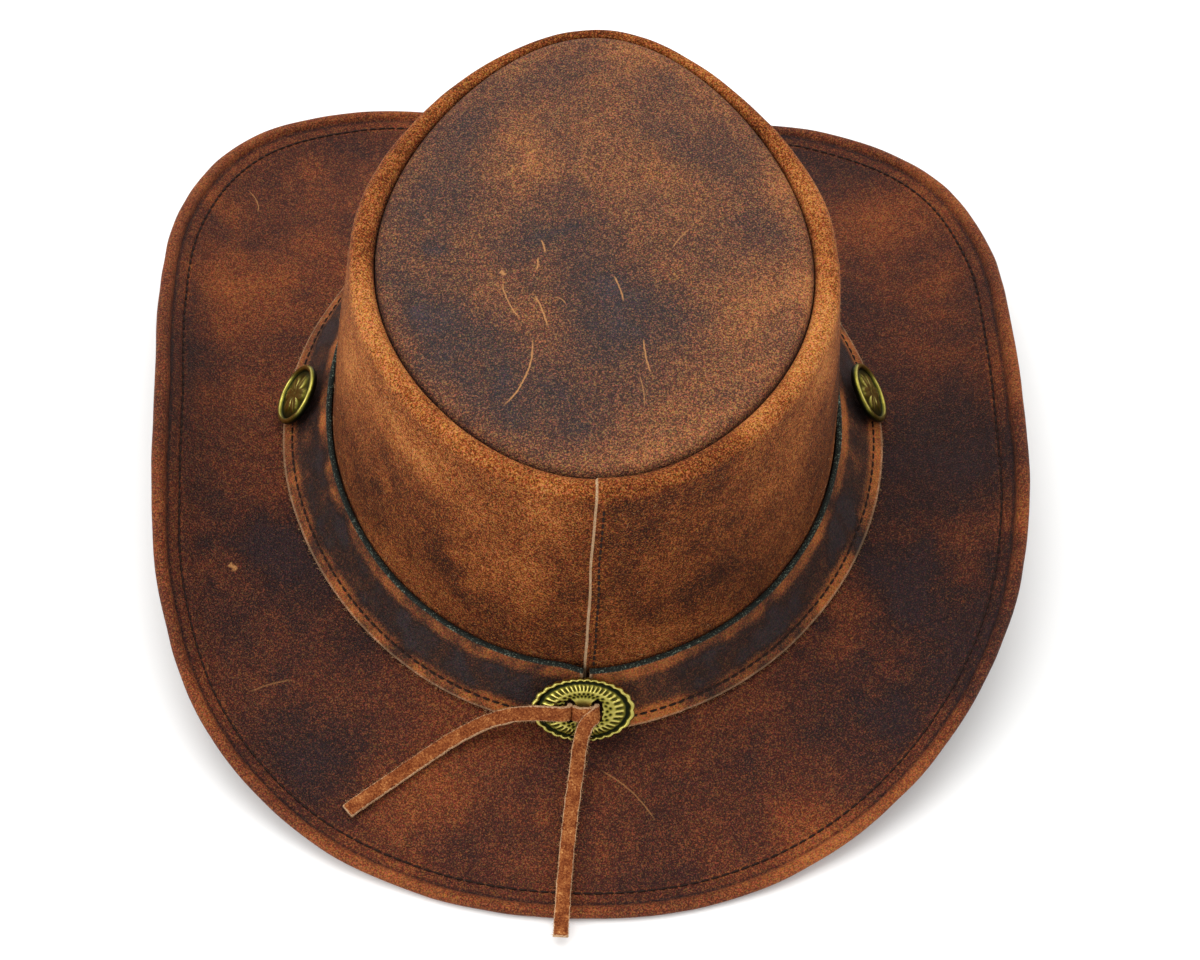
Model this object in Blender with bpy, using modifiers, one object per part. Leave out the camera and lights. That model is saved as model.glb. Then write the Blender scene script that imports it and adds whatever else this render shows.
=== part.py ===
# Leather cowboy hat with a stitched band, brass studs and a laced concho at the back.
# Metres, +Z up, the front of the hat towards -Y, its back towards +Y, +X on the wearer's left.
# The hat stands on the floor at z = 0, with the middle of its outline over the origin.
import math

import bmesh
import bpy
from mathutils import Matrix, Vector

# Head opening and leather
HEAD_LENGTH = 0.202
HEAD_WIDTH = 0.166
CROWN_LEATHER = 0.0018
BRIM_LEATHER = 0.0022
BAND_LEATHER = 0.0020
GAP = 0.0003

# Brim
BRIM_WIDTH = 0.0730
BRIM_ROOT = 0.0125
SIDE_RISE = 0.0380
HEM_WIDTH = 0.0088
HEM_ROLL = 0.0040
CURL_LEFT = 2.7
CURL_RIGHT = 2.2
CURL_LEAN = 0.2
BRIM_ROWS = (0.0, 0.145, 0.331, 0.538, 0.745, 0.9)

# Crown, heights over the floor
TIP_LENGTH = 0.1752
TIP_WIDTH = 0.1376
TIP_TAPER = 0.10
TIP_WAIST = 0.14
TIP_NOSE = 0.04
TIP_SETBACK = 0.0008
TIP_SEAM = 0.1170
TIP_TILT = 0.020
TIP_DOME = 0.0045
TIP_SHOULDER = 0.0034
TIP_ROWS = (0.28, 0.58, 0.84)
SHOULDER_TURNS = (90, 60, 30, 0)
RIDGE_WIDTH = 0.0082
RIDGE_FRONT = 0.0040
RIDGE_PINCH = 1.15
RIDGE_TURNS = (36, 72, 108, 144, 180)
SEAM_ALLOWANCE = 0.0040
WALL_BULGE = 0.0010
WALL_ROWS = (0.0, 0.22, 0.48, 0.74, 1.0)
LAP_STEP = 0.0016
LAP_FADE = 0.0350
LAP_EDGE = -0.0023
LAP_CORNER = 0.0015
LAP_THINNING = 0.3
LAP_LEAD = 0.25

# Band round the foot of the crown
BAND_HEIGHT = 0.0205
BAND_WIDTH = 0.0228
BAND_HOLLOW = 0.85
BAND_OPENING = 0.0024

# Round studs
STUD_DIAMETER = 0.0215
STUD_THICKNESS = 0.0026
STUD_RIM = 0.0018
STUD_POST = 0.0060
STUD_TILT = 35.0
STUD_SEAT = 0.45
STUD_LEFT_ANGLE = 92.0
STUD_RIGHT_ANGLE = 263.3
STUD_SIDES = 28

# Oval concho
CONCHO_WIDTH = 0.0334
CONCHO_HEIGHT = 0.0214
CONCHO_THICKNESS = 0.0012
CONCHO_DISH = 0.0022
CONCHO_SCALLOPS = 28
SCALLOP_DEPTH = 0.0006
SLOT_WIDTH = 0.0034
SLOT_LENGTH = 0.0078
SLOT_SIDES = 16
BRIDGE_WIDTH = 0.0052
CONCHO_TILT = 40.0
CONCHO_SEAT = 0.42
CONCHO_SIDE = -0.0016

# Flat lace
LACE_WIDTH = 0.0048
LACE_THICKNESS = 0.0018
LACE_STEP = 0.6

# Lace routes from the crown's middle, out of a slot and over the brim to the cut end.
# flat turns the width from the slot's length, at 0, to lying on the brim, at 1.
LACE_LEFT = [
    {"place": (0.0025, 0.1152, 0.0271), "flat": 0.0},
    {"place": (0.0026, 0.1170, 0.0286), "flat": 0.0},
    {"place": (0.0042, 0.1182, 0.0296), "flat": 0.0},
    {"place": (0.0077, 0.1182, 0.0295), "flat": 0.0},
    {"place": (0.0128, 0.1175, 0.0283), "flat": 0.05},
    {"place": (0.0185, 0.1161, 0.0250), "flat": 0.35},
    {"place": (0.0250, 0.1156, 0.0212), "flat": 0.75},
    {"place": (0.0320, 0.1168, 0.0173), "flat": 1.0},
    {"place": (0.0400, 0.1200, 0.0134), "flat": 1.0},
    {"place": (0.0479, 0.1247, 0.0104), "flat": 1.0},
    {"place": (0.0556, 0.1302, 0.0085), "flat": 1.0},
    {"place": (0.0635, 0.1362, 0.0071), "flat": 1.0},
    {"place": (0.0717, 0.1431, 0.0065), "flat": 1.0},
]
LACE_BACK = [
    {"place": (-0.0061, 0.1149, 0.0269), "flat": 0.0},
    {"place": (-0.0060, 0.1170, 0.0287), "flat": 0.1},
    {"place": (-0.0049, 0.1190, 0.0294), "flat": 0.5},
    {"place": (-0.0029, 0.1212, 0.0284), "flat": 0.9},
    {"place": (-0.0015, 0.1238, 0.0246), "flat": 1.0},
    {"place": (-0.0009, 0.1265, 0.0198), "flat": 1.0},
    {"place": (-0.0004, 0.1306, 0.0150), "flat": 1.0},
    {"place": (0.0005, 0.1380, 0.0101), "flat": 1.0},
    {"place": (0.0014, 0.1480, 0.0067), "flat": 1.0},
    {"place": (0.0020, 0.1580, 0.0048), "flat": 1.0},
    {"place": (0.0025, 0.1665, 0.0044), "flat": 1.0},
    {"place": (0.0028, 0.1735, 0.0055), "flat": 1.0},
    {"place": (0.0030, 0.1785, 0.0053), "flat": 1.0},
    {"place": (0.0031, 0.1836, 0.0045), "flat": 1.0},
]

# Columns round the leather pieces, steps between a route's rows, and probes under a seated piece
COLUMNS = 52
ROUTE_STEPS = 20
PROBES = 16
PROBE_MARGIN = 1.1

# Reach and rise of the brim by angle from the back, as shares of BRIM_WIDTH and SIDE_RISE
BRIM_OUTLINE = [
    {"angle": 0, "left": 1.000, "right": 1.000, "rise": 0.00},
    {"angle": 15, "left": 1.020, "right": 1.010, "rise": 0.00},
    {"angle": 30, "left": 1.058, "right": 1.026, "rise": 0.13},
    {"angle": 45, "left": 1.044, "right": 1.024, "rise": 0.43},
    {"angle": 60, "left": 0.945, "right": 0.990, "rise": 0.76},
    {"angle": 75, "left": 0.840, "right": 0.920, "rise": 0.95},
    {"angle": 90, "left": 0.816, "right": 0.868, "rise": 1.00},
    {"angle": 105, "left": 0.902, "right": 0.900, "rise": 0.95},
    {"angle": 120, "left": 1.051, "right": 1.014, "rise": 0.76},
    {"angle": 135, "left": 1.138, "right": 1.100, "rise": 0.43},
    {"angle": 150, "left": 1.030, "right": 1.022, "rise": 0.13},
    {"angle": 165, "left": 0.792, "right": 0.808, "rise": 0.00},
    {"angle": 180, "left": 0.682, "right": 0.682, "rise": 0.00},
]

# Leather thickness across the brim's hem, from the stitch line out to the fold
HEM_SECTION = [
    {"in_from_edge": 1.00, "thickness": 0.46},
    {"in_from_edge": 0.62, "thickness": 0.56},
    {"in_from_edge": 0.50, "thickness": 0.78},
    {"in_from_edge": 0.28, "thickness": 1.00},
    {"in_from_edge": 0.09, "thickness": 0.84},
    {"in_from_edge": 0.00, "thickness": 0.42},
]

# Rows of the band's hollow section, in degrees from its sewn edge to its upper edge
BAND_TURNS = (0, 24, 36, 48, 60, 74, 90)

# Stud's rim from its underside inwards, as shares of STUD_RIM and STUD_THICKNESS
STUD_SECTION = [
    {"inset": 0.50, "height": 0.00},
    {"inset": 0.00, "height": 0.35},
    {"inset": 0.25, "height": 0.90},
    {"inset": 0.65, "height": 1.00},
    {"inset": 1.00, "height": 0.62},
]

# Stud's domed middle, as shares of the radius inside the rim and of STUD_THICKNESS
STUD_DOME = [
    {"share": 0.60, "height": 0.86},
    {"share": 0.00, "height": 0.95},
]

# Concho's face from its edge to its middle, as shares of its reach and of CONCHO_DISH
CONCHO_SECTION = [
    {"share": 1.00, "height": 0.10},
    {"share": 0.95, "height": 0.34},
    {"share": 0.86, "height": 0.10},
    {"share": 0.76, "height": 0.35},
    {"share": 0.58, "height": 1.00},
    {"share": 0.50, "height": 0.90},
]


def clear_scene():
    for item in list(bpy.data.objects):
        bpy.data.objects.remove(item, do_unlink=True)


def make_material(name, colour, roughness, metallic=0.0):
    material = bpy.data.materials.new(name)
    material.use_nodes = True
    shader = material.node_tree.nodes["Principled BSDF"]
    shader.inputs["Base Color"].default_value = (*colour, 1.0)
    shader.inputs["Roughness"].default_value = roughness
    shader.inputs["Metallic"].default_value = metallic
    return material


def mix(a, b, share):
    return a + (b - a) * share


def outline_value(column_left, column_right, angle):
    """Smooth value of BRIM_OUTLINE at an angle in radians from the back, towards +X."""
    left = [row[column_left] for row in BRIM_OUTLINE]
    right = [row[column_right] for row in BRIM_OUTLINE]
    ring = left + right[-2:0:-1]
    place = (angle % math.tau) / math.tau * len(ring)
    index = int(place)
    t = place - index
    a, b, c, d = (ring[(index + step) % len(ring)] for step in (-1, 0, 1, 2))
    return b + 0.5 * t * (c - a + t * (2 * a - 5 * b + 4 * c - d + t * (3 * (b - c) + d - a)))


def smooth(share):
    share = min(max(share, 0.0), 1.0)
    return share * share * (3 - 2 * share)


# Brim surface

def opening_radius(angle):
    """Distance from the crown's middle to the head opening."""
    across = math.sin(angle) / (HEAD_WIDTH / 2)
    along = math.cos(angle) / (HEAD_LENGTH / 2)
    return 1 / math.hypot(across, along)


def brim_reach(angle):
    """Distance from the crown's middle to the folded edge of the brim."""
    return opening_radius(angle) + CROWN_LEATHER + BRIM_WIDTH * outline_value("left", "right", angle)


def brim_underside(angle, radius):
    """Height of the brim's underside: flat hem in front and behind, curled up at the sides."""
    start = opening_radius(angle)
    edge = brim_reach(angle)
    share = min(max((radius - start) / (edge - start), 0.0), 1.0)
    flat = 1 - HEM_WIDTH / (edge - start)
    fall = BRIM_ROOT * (1 - smooth(share / flat))
    side = 0.5 + 0.5 * math.sin(angle)
    curl = mix(CURL_RIGHT, CURL_LEFT, side)
    climb = BRIM_ROOT + (SIDE_RISE - BRIM_ROOT) * mix(share ** curl, share, CURL_LEAN)
    return mix(fall, climb, max(outline_value("rise", "rise", angle), 0.0))


def brim_top(x, y):
    angle = math.atan2(x, y)
    radius = math.hypot(x, y)
    step = 0.001
    slope = (brim_underside(angle, radius + step) - brim_underside(angle, radius - step)) / (2 * step)
    return brim_underside(angle, radius) + BRIM_LEATHER * math.hypot(1.0, slope)


# Crown surface

def tip_outline(angle, offset=0.0):
    """Point of the egg-shaped tip seam, moved outwards by an offset."""
    def place(turn):
        c = math.cos(turn)
        pear = 1 + TIP_TAPER * c - TIP_WAIST * c * c - TIP_NOSE * c ** 3
        return Vector((TIP_WIDTH / 2 * math.sin(turn) * pear, TIP_SETBACK + TIP_LENGTH / 2 * c))
    ahead = place(angle + 0.01) - place(angle - 0.01)
    outward = Vector((-ahead.y, ahead.x)).normalized()
    return place(angle) + outward * offset


def seam_height(y):
    return TIP_SEAM - TIP_TILT * y


def crown_foot():
    return BRIM_ROOT + BRIM_LEATHER + GAP


def ridge_radius(angle):
    """Radius inside the folded ridge at the top of the wall, pinched at the front."""
    width = mix(RIDGE_WIDTH, RIDGE_FRONT, smooth(1 - RIDGE_PINCH - RIDGE_PINCH * math.cos(angle)))
    return (width - 2 * CROWN_LEATHER - GAP / 2) / 2


def ridge_centre(angle):
    """Middle of the ridge's fold, seen in plan and in height."""
    offset = GAP / 2 + CROWN_LEATHER + ridge_radius(angle)
    plan = tip_outline(angle, offset)
    return plan, seam_height(plan.y)


def wall_inside(angle, share, offset=0.0):
    """Point on the inner face of the crown wall, from its foot to the ridge."""
    base = Vector((HEAD_WIDTH / 2 * math.sin(angle), HEAD_LENGTH / 2 * math.cos(angle)))
    offset_top = GAP / 2 + CROWN_LEATHER + 2 * ridge_radius(angle)
    top = tip_outline(angle, offset_top)
    plan = base.lerp(top, share)
    outward = plan.normalized()
    plan = plan + outward * (WALL_BULGE * math.sin(math.pi * share) + offset)
    height = mix(crown_foot(), ridge_centre(angle)[1], share)
    return Vector((plan.x, plan.y, height))


def lap_angle():
    """Direction of the lap's cut edge from the crown's middle."""
    return math.asin(LAP_EDGE / (HEAD_WIDTH / 2))


def lap_step(angle, lead=0.0):
    """How far the lapped wall stands out: full at the cut edge, fading away behind it."""
    fade = LAP_FADE / (HEAD_LENGTH / 2)
    past = (lap_angle() - angle) % math.tau
    before = (angle - lap_angle()) % math.tau
    if past < fade:
        return LAP_STEP * (1 - smooth(past / fade))
    if before < fade * lead:
        return LAP_STEP * (1 - smooth(before / (fade * lead)))
    return 0.0


def wall_share(height):
    return (height - crown_foot()) / (TIP_SEAM - crown_foot())


# Meshes

def add_object(name, data, material, collection, parent):
    item = bpy.data.objects.new(name, data)
    collection.objects.link(item)
    item.data.materials.append(material)
    item.parent = parent
    return item


def sheet_mesh(name, rows, closed):
    """Open sheet through rows of points; closed joins each row's ends."""
    mesh = bpy.data.meshes.new(name)
    work = bmesh.new()
    grid = [[work.verts.new(point) for point in row] for row in rows]
    columns = len(rows[0])
    for low, high in zip(grid, grid[1:]):
        for index in range(columns if closed else columns - 1):
            after = (index + 1) % columns
            work.faces.new((low[index], high[index], high[after], low[after]))
    work.to_mesh(mesh)
    work.free()
    mesh.shade_smooth()
    return mesh


def add_wall(item, thickness, offset, weights=None):
    """Give an open sheet its leather thickness, varied by weights where given."""
    if weights:
        group = item.vertex_groups.new(name="thickness")
        for index, weight in enumerate(weights):
            group.add([index], weight, "REPLACE")
    shell = item.modifiers.new("leather", "SOLIDIFY")
    shell.thickness = thickness
    shell.offset = offset
    shell.use_even_offset = True
    if weights:
        shell.vertex_group = "thickness"
    return shell


def turns(count):
    return [math.tau * index / count for index in range(count)]


def wall_turns():
    """Angles round the crown, with a close pair at the edge of the lap."""
    lap = lap_angle()
    angles = [lap - LAP_CORNER, lap + LAP_CORNER]
    angles += [lap + math.tau * index / COLUMNS for index in range(1, COLUMNS)]
    return sorted(angles)


# Pieces

def make_brim(material, collection, parent):
    angles = turns(COLUMNS)
    rows = []
    weights = []
    for share in BRIM_ROWS:
        rows.append([
            (mix(opening_radius(angle), brim_reach(angle) - HEM_WIDTH, share), angle)
            for angle in angles
        ])
        weights += [BRIM_LEATHER / HEM_ROLL] * len(angles)
    for row in HEM_SECTION:
        rows.append([(brim_reach(angle) - HEM_WIDTH * row["in_from_edge"], angle) for angle in angles])
        weights += [row["thickness"]] * len(angles)
    points = [
        [(r * math.sin(a), r * math.cos(a), brim_underside(a, r)) for r, a in row]
        for row in rows
    ]
    item = add_object("brim", sheet_mesh("brim", points, True), material, collection, parent)
    add_wall(item, HEM_ROLL, -1.0, weights)
    return item


def make_crown_wall(material, collection, parent):
    angles = wall_turns()
    full = CROWN_LEATHER + LAP_STEP
    rows = []
    weights = []
    for share in WALL_ROWS:
        rows.append([wall_inside(angle, share) for angle in angles])
        thin = 1 - LAP_THINNING * share
        weights += [(CROWN_LEATHER + lap_step(angle) * thin) / full for angle in angles]
    for degrees in RIDGE_TURNS:
        turn = math.radians(degrees)
        ring = []
        for angle in angles:
            plan, height = ridge_centre(angle)
            radius = ridge_radius(angle)
            outward = tip_outline(angle, 1.0) - tip_outline(angle)
            across = outward * radius * math.cos(turn)
            ring.append((plan.x + across.x, plan.y + across.y, height + radius * math.sin(turn)))
        rows.append(ring)
        weights += [CROWN_LEATHER / full] * len(angles)
    rows.append([(x, y, z - SEAM_ALLOWANCE) for x, y, z in rows[-1]])
    weights += [CROWN_LEATHER / full] * len(angles)
    mesh = sheet_mesh("crown_wall", rows, True)
    item = add_object("crown_wall", mesh, material, collection, parent)
    add_wall(item, full, 1.0, weights)
    return item


def make_crown_tip(material, collection, parent):
    """Domed panel whose rounded shoulder turns down into the seam."""
    angles = wall_turns()
    edge = GAP / 2
    rows = []
    for share in TIP_ROWS:
        ring = []
        for angle in angles:
            rim = tip_outline(angle, -edge - TIP_SHOULDER)
            plan = rim * share
            rise = TIP_SHOULDER + TIP_DOME * (1 - share * share)
            ring.append((plan.x, plan.y, seam_height(plan.y) + rise))
        rows.append(ring)
    for degrees in SHOULDER_TURNS:
        turn = math.radians(degrees)
        ring = []
        for angle in angles:
            plan = tip_outline(angle, -edge - TIP_SHOULDER * (1 - math.cos(turn)))
            height = seam_height(plan.y) + TIP_SHOULDER * math.sin(turn)
            ring.append((plan.x, plan.y, height))
        rows.append(ring)
    rows.append([(x, y, z - SEAM_ALLOWANCE) for x, y, z in rows[-1]])
    mesh = sheet_mesh("crown_tip", rows, True)
    work = bmesh.new()
    work.from_mesh(mesh)
    middle = work.verts.new((0.0, 0.0, TIP_SEAM + TIP_SHOULDER + TIP_DOME))
    work.verts.ensure_lookup_table()
    count = len(angles)
    for index in range(count):
        work.faces.new((work.verts[(index + 1) % count], middle, work.verts[index]))
    bmesh.ops.recalc_face_normals(work, faces=work.faces)
    work.to_mesh(mesh)
    work.free()
    mesh.shade_smooth()
    item = add_object("crown_tip", mesh, material, collection, parent)
    add_wall(item, CROWN_LEATHER, -1.0)
    return item


def band_point(angle, turn):
    """Point on the band's mid-surface: turn 0 lies on the brim, 90 degrees is the upper edge."""
    clear = BAND_LEATHER / 2 + GAP
    foot = wall_inside(angle, 0.0, CROWN_LEATHER + lap_cover(angle) + clear)
    outward = foot.to_2d().normalized()
    top = crown_foot() + BAND_HEIGHT
    spread = 0.0
    for _ in range(12):
        edge = foot.to_2d() + outward * spread
        low = brim_top(edge.x, edge.y) + clear
        spread = math.sqrt(max(BAND_WIDTH ** 2 - (top - low) ** 2, BAND_LEATHER ** 2))
    power = 2 / BAND_HOLLOW
    height = mix(low, top, math.sin(turn) ** power)
    share = max(wall_share(height), 0.0)
    face = wall_inside(angle, share, CROWN_LEATHER + lap_cover(angle) + clear)
    plan = face.to_2d() + outward * (spread * math.cos(turn) ** power)
    return Vector((plan.x, plan.y, max(height, brim_top(plan.x, plan.y) + clear)))


def lap_cover(angle):
    """Room that the band leaves for the lapped wall under it."""
    step = lap_step(angle, LAP_LEAD)
    return step + GAP if step > 0 else 0.0


def make_band(material, collection, parent):
    half_gap = BAND_OPENING / HEAD_LENGTH
    span = math.tau - 2 * half_gap
    angles = [lap_angle() + half_gap + span * index / COLUMNS for index in range(COLUMNS + 1)]
    rows = []
    for degrees in BAND_TURNS:
        rows.append([band_point(angle, math.radians(degrees)) for angle in angles])
    mesh = sheet_mesh("hat_band", rows, False)
    item = add_object("hat_band", mesh, material, collection, parent)
    add_wall(item, BAND_LEATHER, 0.0)
    return item


def band_face(angle, turn):
    """Point on the band's outer face."""
    step = 0.01
    ahead = band_point(angle + step, turn) - band_point(angle - step, turn)
    above = band_point(angle, min(turn + step, math.pi / 2)) - band_point(angle, max(turn - step, 0.0))
    middle = band_point(angle, turn)
    outward = above.cross(ahead).normalized()
    if outward.to_2d().dot(middle.to_2d()) < 0:
        outward = -outward
    return middle + outward * (BAND_LEATHER / 2)


def seat(angle, tilt, share, half_width, half_height):
    """Frame of a flat piece on the band: centre, sideways, upward and outward directions."""
    facing = wall_inside(angle + 0.01, 0.0) - wall_inside(angle - 0.01, 0.0)
    side = Vector((facing.x, facing.y, 0.0)).normalized()
    flat = Vector((-side.y, side.x, 0.0))
    rise = math.radians(tilt)
    outward = flat * math.cos(rise) + Vector((0, 0, 1)) * math.sin(rise)
    upward = outward.cross(side)
    if upward.z < 0:
        upward = -upward
        side = -side
    low = band_face(angle, math.radians(BAND_TURNS[0]))
    high = band_face(angle, math.radians(BAND_TURNS[-1]))
    middle = low.lerp(high, share)
    lift = band_lift(middle, side, upward, outward, half_width, half_height, angle)
    return middle + outward * (lift + GAP), side, upward, outward


def band_lift(middle, side, upward, outward, half_width, half_height, angle):
    """Height of the band's highest point under an oval, along the oval's axis."""
    best = -1.0
    for step in range(-PROBES, PROBES + 1):
        around = angle + 2 * step / PROBES * half_width / (HEAD_LENGTH / 2)
        for degrees in BAND_TURNS:
            near = band_face(around, math.radians(degrees)) - middle
            across = near.dot(side) / half_width
            along = near.dot(upward) / half_height
            if across * across + along * along <= PROBE_MARGIN:
                best = max(best, near.dot(outward))
    return best


def place_on(item, frame):
    """Turn a piece made flat round the origin, facing +Z, onto its seat."""
    centre, side, upward, outward = frame
    turn = Matrix((side, upward, outward)).transposed().to_4x4()
    item.matrix_world = Matrix.Translation(centre) @ turn


def turned_mesh(name, profile, steps):
    """Closed turned body; the profile runs from the axis at the bottom round to the axis on top."""
    mesh = bpy.data.meshes.new(name)
    work = bmesh.new()
    rings = []
    for radius, height in profile:
        if radius == 0.0:
            rings.append([work.verts.new((0.0, 0.0, height))])
            continue
        rings.append([
            work.verts.new((radius * math.cos(turn), radius * math.sin(turn), height))
            for turn in turns(steps)
        ])
    for low, high in zip(rings, rings[1:]):
        for index in range(steps):
            after = (index + 1) % steps
            corners = [low[index % len(low)], low[after % len(low)]]
            corners += [high[after % len(high)], high[index % len(high)]]
            work.faces.new(list(dict.fromkeys(corners)))
    bmesh.ops.recalc_face_normals(work, faces=work.faces)
    work.to_mesh(mesh)
    work.free()
    mesh.shade_smooth()
    return mesh


def make_stud(name, degrees, material, collection, parent):
    """Round stud with a raised rim, a domed middle and a post down to the band."""
    radius = STUD_DIAMETER / 2
    angle = math.radians(degrees)
    frame = seat(angle, STUD_TILT, STUD_SEAT, radius, radius)
    centre, side, upward, outward = frame
    post = STUD_POST / 2
    below = band_lift(centre, side, upward, outward, post, post, angle)
    reach = below + GAP
    inner = radius - STUD_RIM
    profile = [(0.0, reach), (post, reach), (post, 0.0)]
    for row in STUD_SECTION:
        profile.append((radius - STUD_RIM * row["inset"], STUD_THICKNESS * row["height"]))
    for row in STUD_DOME:
        profile.append((inner * row["share"], STUD_THICKNESS * row["height"]))
    item = add_object(name, turned_mesh(name, profile, STUD_SIDES), material, collection, parent)
    place_on(item, frame)
    return item


def concho_radius(turn, share):
    """Distance from the concho's middle at a turn, with its scalloped outline at share 1."""
    oval = 1 / math.hypot(math.cos(turn) / (CONCHO_WIDTH / 2), math.sin(turn) / (CONCHO_HEIGHT / 2))
    scallop = SCALLOP_DEPTH * (1 - abs(math.sin(turn * CONCHO_SCALLOPS / 2)))
    return oval * share - scallop * share ** 6


def make_concho(material, collection, parent, guides):
    """Oval plate with a scalloped edge and two slots for the lace."""
    steps = CONCHO_SCALLOPS * 3
    mesh = bpy.data.meshes.new("back_concho")
    work = bmesh.new()
    rings = []
    for row in CONCHO_SECTION:
        height = CONCHO_DISH * row["height"] + CONCHO_THICKNESS
        rings.append([
            work.verts.new((
                concho_radius(turn, row["share"]) * math.cos(turn),
                concho_radius(turn, row["share"]) * math.sin(turn),
                height,
            ))
            for turn in turns(steps)
        ])
    for outer, inner in zip(rings, rings[1:]):
        for index in range(steps):
            after = (index + 1) % steps
            work.faces.new((outer[index], outer[after], inner[after], inner[index]))
    work.faces.new(rings[-1])
    base = [work.verts.new((vert.co.x, vert.co.y, 0.0)) for vert in rings[0]]
    for index in range(steps):
        after = (index + 1) % steps
        work.faces.new((base[index], base[after], rings[0][after], rings[0][index]))
    work.faces.new(list(reversed(base)))
    bmesh.ops.recalc_face_normals(work, faces=work.faces)
    work.to_mesh(mesh)
    work.free()
    item = add_object("back_concho", mesh, material, collection, parent)
    for side in (-1, 1):
        cutter = slot_cutter(side, guides)
        cut = item.modifiers.new("slot", "BOOLEAN")
        cut.object = cutter
        cut.operation = "DIFFERENCE"
        cutter.parent = item
    place_on(item, concho_frame())
    return item


def slot_cutter(side, guides):
    bpy.ops.mesh.primitive_cylinder_add(
        vertices=SLOT_SIDES, radius=SLOT_WIDTH / 2, depth=CONCHO_HEIGHT
    )
    cutter = bpy.context.object
    cutter.name = "slot_cutter"
    stretch = (SLOT_LENGTH - SLOT_WIDTH) / 2
    for vert in cutter.data.vertices:
        vert.co.y += math.copysign(stretch, vert.co.y) if abs(vert.co.y) > 1e-6 else 0.0
        vert.co.x += side * (BRIDGE_WIDTH + SLOT_WIDTH) / 2
    for owner in list(cutter.users_collection):
        owner.objects.unlink(cutter)
    guides.objects.link(cutter)
    cutter.hide_render = True
    cutter.display_type = "WIRE"
    return cutter


def concho_frame():
    angle = math.asin(CONCHO_SIDE / (HEAD_WIDTH / 2))
    return seat(angle, CONCHO_TILT, CONCHO_SEAT, CONCHO_WIDTH / 2, CONCHO_HEIGHT / 2)


def smooth_route(rows, spacing):
    """Evenly spaced places and turns on a smooth curve through a route's rows."""
    points = [Vector((*row["place"], row["flat"])) for row in rows]
    ends = [2 * points[0] - points[1], *points, 2 * points[-1] - points[-2]]
    fine = []
    for a, b, c, d in zip(ends, ends[1:], ends[2:], ends[3:]):
        for step in range(ROUTE_STEPS):
            t = step / ROUTE_STEPS
            bend = 2 * a - 5 * b + 4 * c - d + t * (3 * (b - c) + d - a)
            fine.append(b + 0.5 * t * (c - a + t * bend))
    fine.append(points[-1])
    lengths = [0.0]
    for a, b in zip(fine, fine[1:]):
        lengths.append(lengths[-1] + (b.xyz - a.xyz).length)
    count = max(round(lengths[-1] / spacing), 2)
    route = []
    index = 0
    for step in range(count + 1):
        target = lengths[-1] * step / count
        while index < len(fine) - 2 and lengths[index + 1] < target:
            index += 1
        share = (target - lengths[index]) / (lengths[index + 1] - lengths[index])
        route.append(fine[index].lerp(fine[index + 1], share))
    return [(point.xyz, min(max(point.w, 0.0), 1.0)) for point in route]


def lace_across(along, place, flat):
    """Direction of the lace's width: along the slot at flat 0, lying on the brim at flat 1."""
    step = 0.002
    slope_x = (brim_top(place.x + step, place.y) - brim_top(place.x - step, place.y)) / (2 * step)
    slope_y = (brim_top(place.x, place.y + step) - brim_top(place.x, place.y - step)) / (2 * step)
    level = Vector((-slope_x, -slope_y, 1.0)).cross(along).normalized()
    slot = concho_frame()[2]
    if level.dot(slot) < 0:
        level = -level
    across = slot.lerp(level, flat)
    return (across - along * across.dot(along)).normalized()


def make_lace(name, rows, material, collection, parent):
    """Flat thong through a route's points, its ends cut square."""
    curve = bpy.data.curves.new(name, "CURVE")
    curve.dimensions = "3D"
    curve.twist_mode = "Z_UP"
    curve.bevel_depth = LACE_THICKNESS / 2
    curve.bevel_resolution = 2
    curve.extrude = (LACE_WIDTH - LACE_THICKNESS) / 2
    curve.use_fill_caps = True
    route = smooth_route(rows, LACE_WIDTH * LACE_STEP)
    spline = curve.splines.new("POLY")
    spline.points.add(len(route) - 1)
    for index, (place, flat) in enumerate(route):
        before = route[max(index - 1, 0)][0]
        after = route[min(index + 1, len(route) - 1)][0]
        along = (after - before).normalized()
        across = lace_across(along, place, flat)
        up = (Vector((0, 0, 1)) - along * along.z).normalized()
        spline.points[index].co = (*place, 1.0)
        spline.points[index].tilt = math.atan2(along.dot(up.cross(across)), up.dot(across))
    return add_object(name, curve, material, collection, parent)


def outline_middle():
    """Middle of the brim's outline, seen from above."""
    edge = [(brim_reach(a) * math.sin(a), brim_reach(a) * math.cos(a)) for a in turns(COLUMNS)]
    across = [x for x, y in edge]
    along = [y for x, y in edge]
    return (min(across) + max(across)) / 2, (min(along) + max(along)) / 2


def main():
    clear_scene()
    collection = bpy.data.collections.new("leather_cowboy_hat")
    bpy.context.scene.collection.children.link(collection)
    hat = bpy.data.objects.new("hat", None)
    collection.objects.link(hat)
    leather = make_material("brown_leather", (0.13, 0.045, 0.02), 0.62)
    dark = make_material("dark_leather", (0.07, 0.028, 0.02), 0.6)
    make_brim(dark, collection, hat)
    make_crown_wall(leather, collection, hat)
    make_crown_tip(leather, collection, hat)
    make_band(dark, collection, hat)
    brass = make_material("antique_brass", (0.32, 0.26, 0.06), 0.38, 1.0)
    guides = bpy.data.collections.new("guides")
    bpy.context.scene.collection.children.link(guides)
    make_concho(brass, collection, hat, guides)
    make_stud("stud_left", STUD_LEFT_ANGLE, brass, collection, hat)
    make_stud("stud_right", STUD_RIGHT_ANGLE, brass, collection, hat)
    suede = make_material("suede_lace", (0.21, 0.07, 0.035), 0.9)
    make_lace("lace_left", LACE_LEFT, suede, collection, hat)
    make_lace("lace_back", LACE_BACK, suede, collection, hat)
    middle_x, middle_y = outline_middle()
    hat.location = (-middle_x, -middle_y, 0.0)


main()
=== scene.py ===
import math

import bmesh
import bpy
from mathutils import Matrix, Vector, noise


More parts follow.
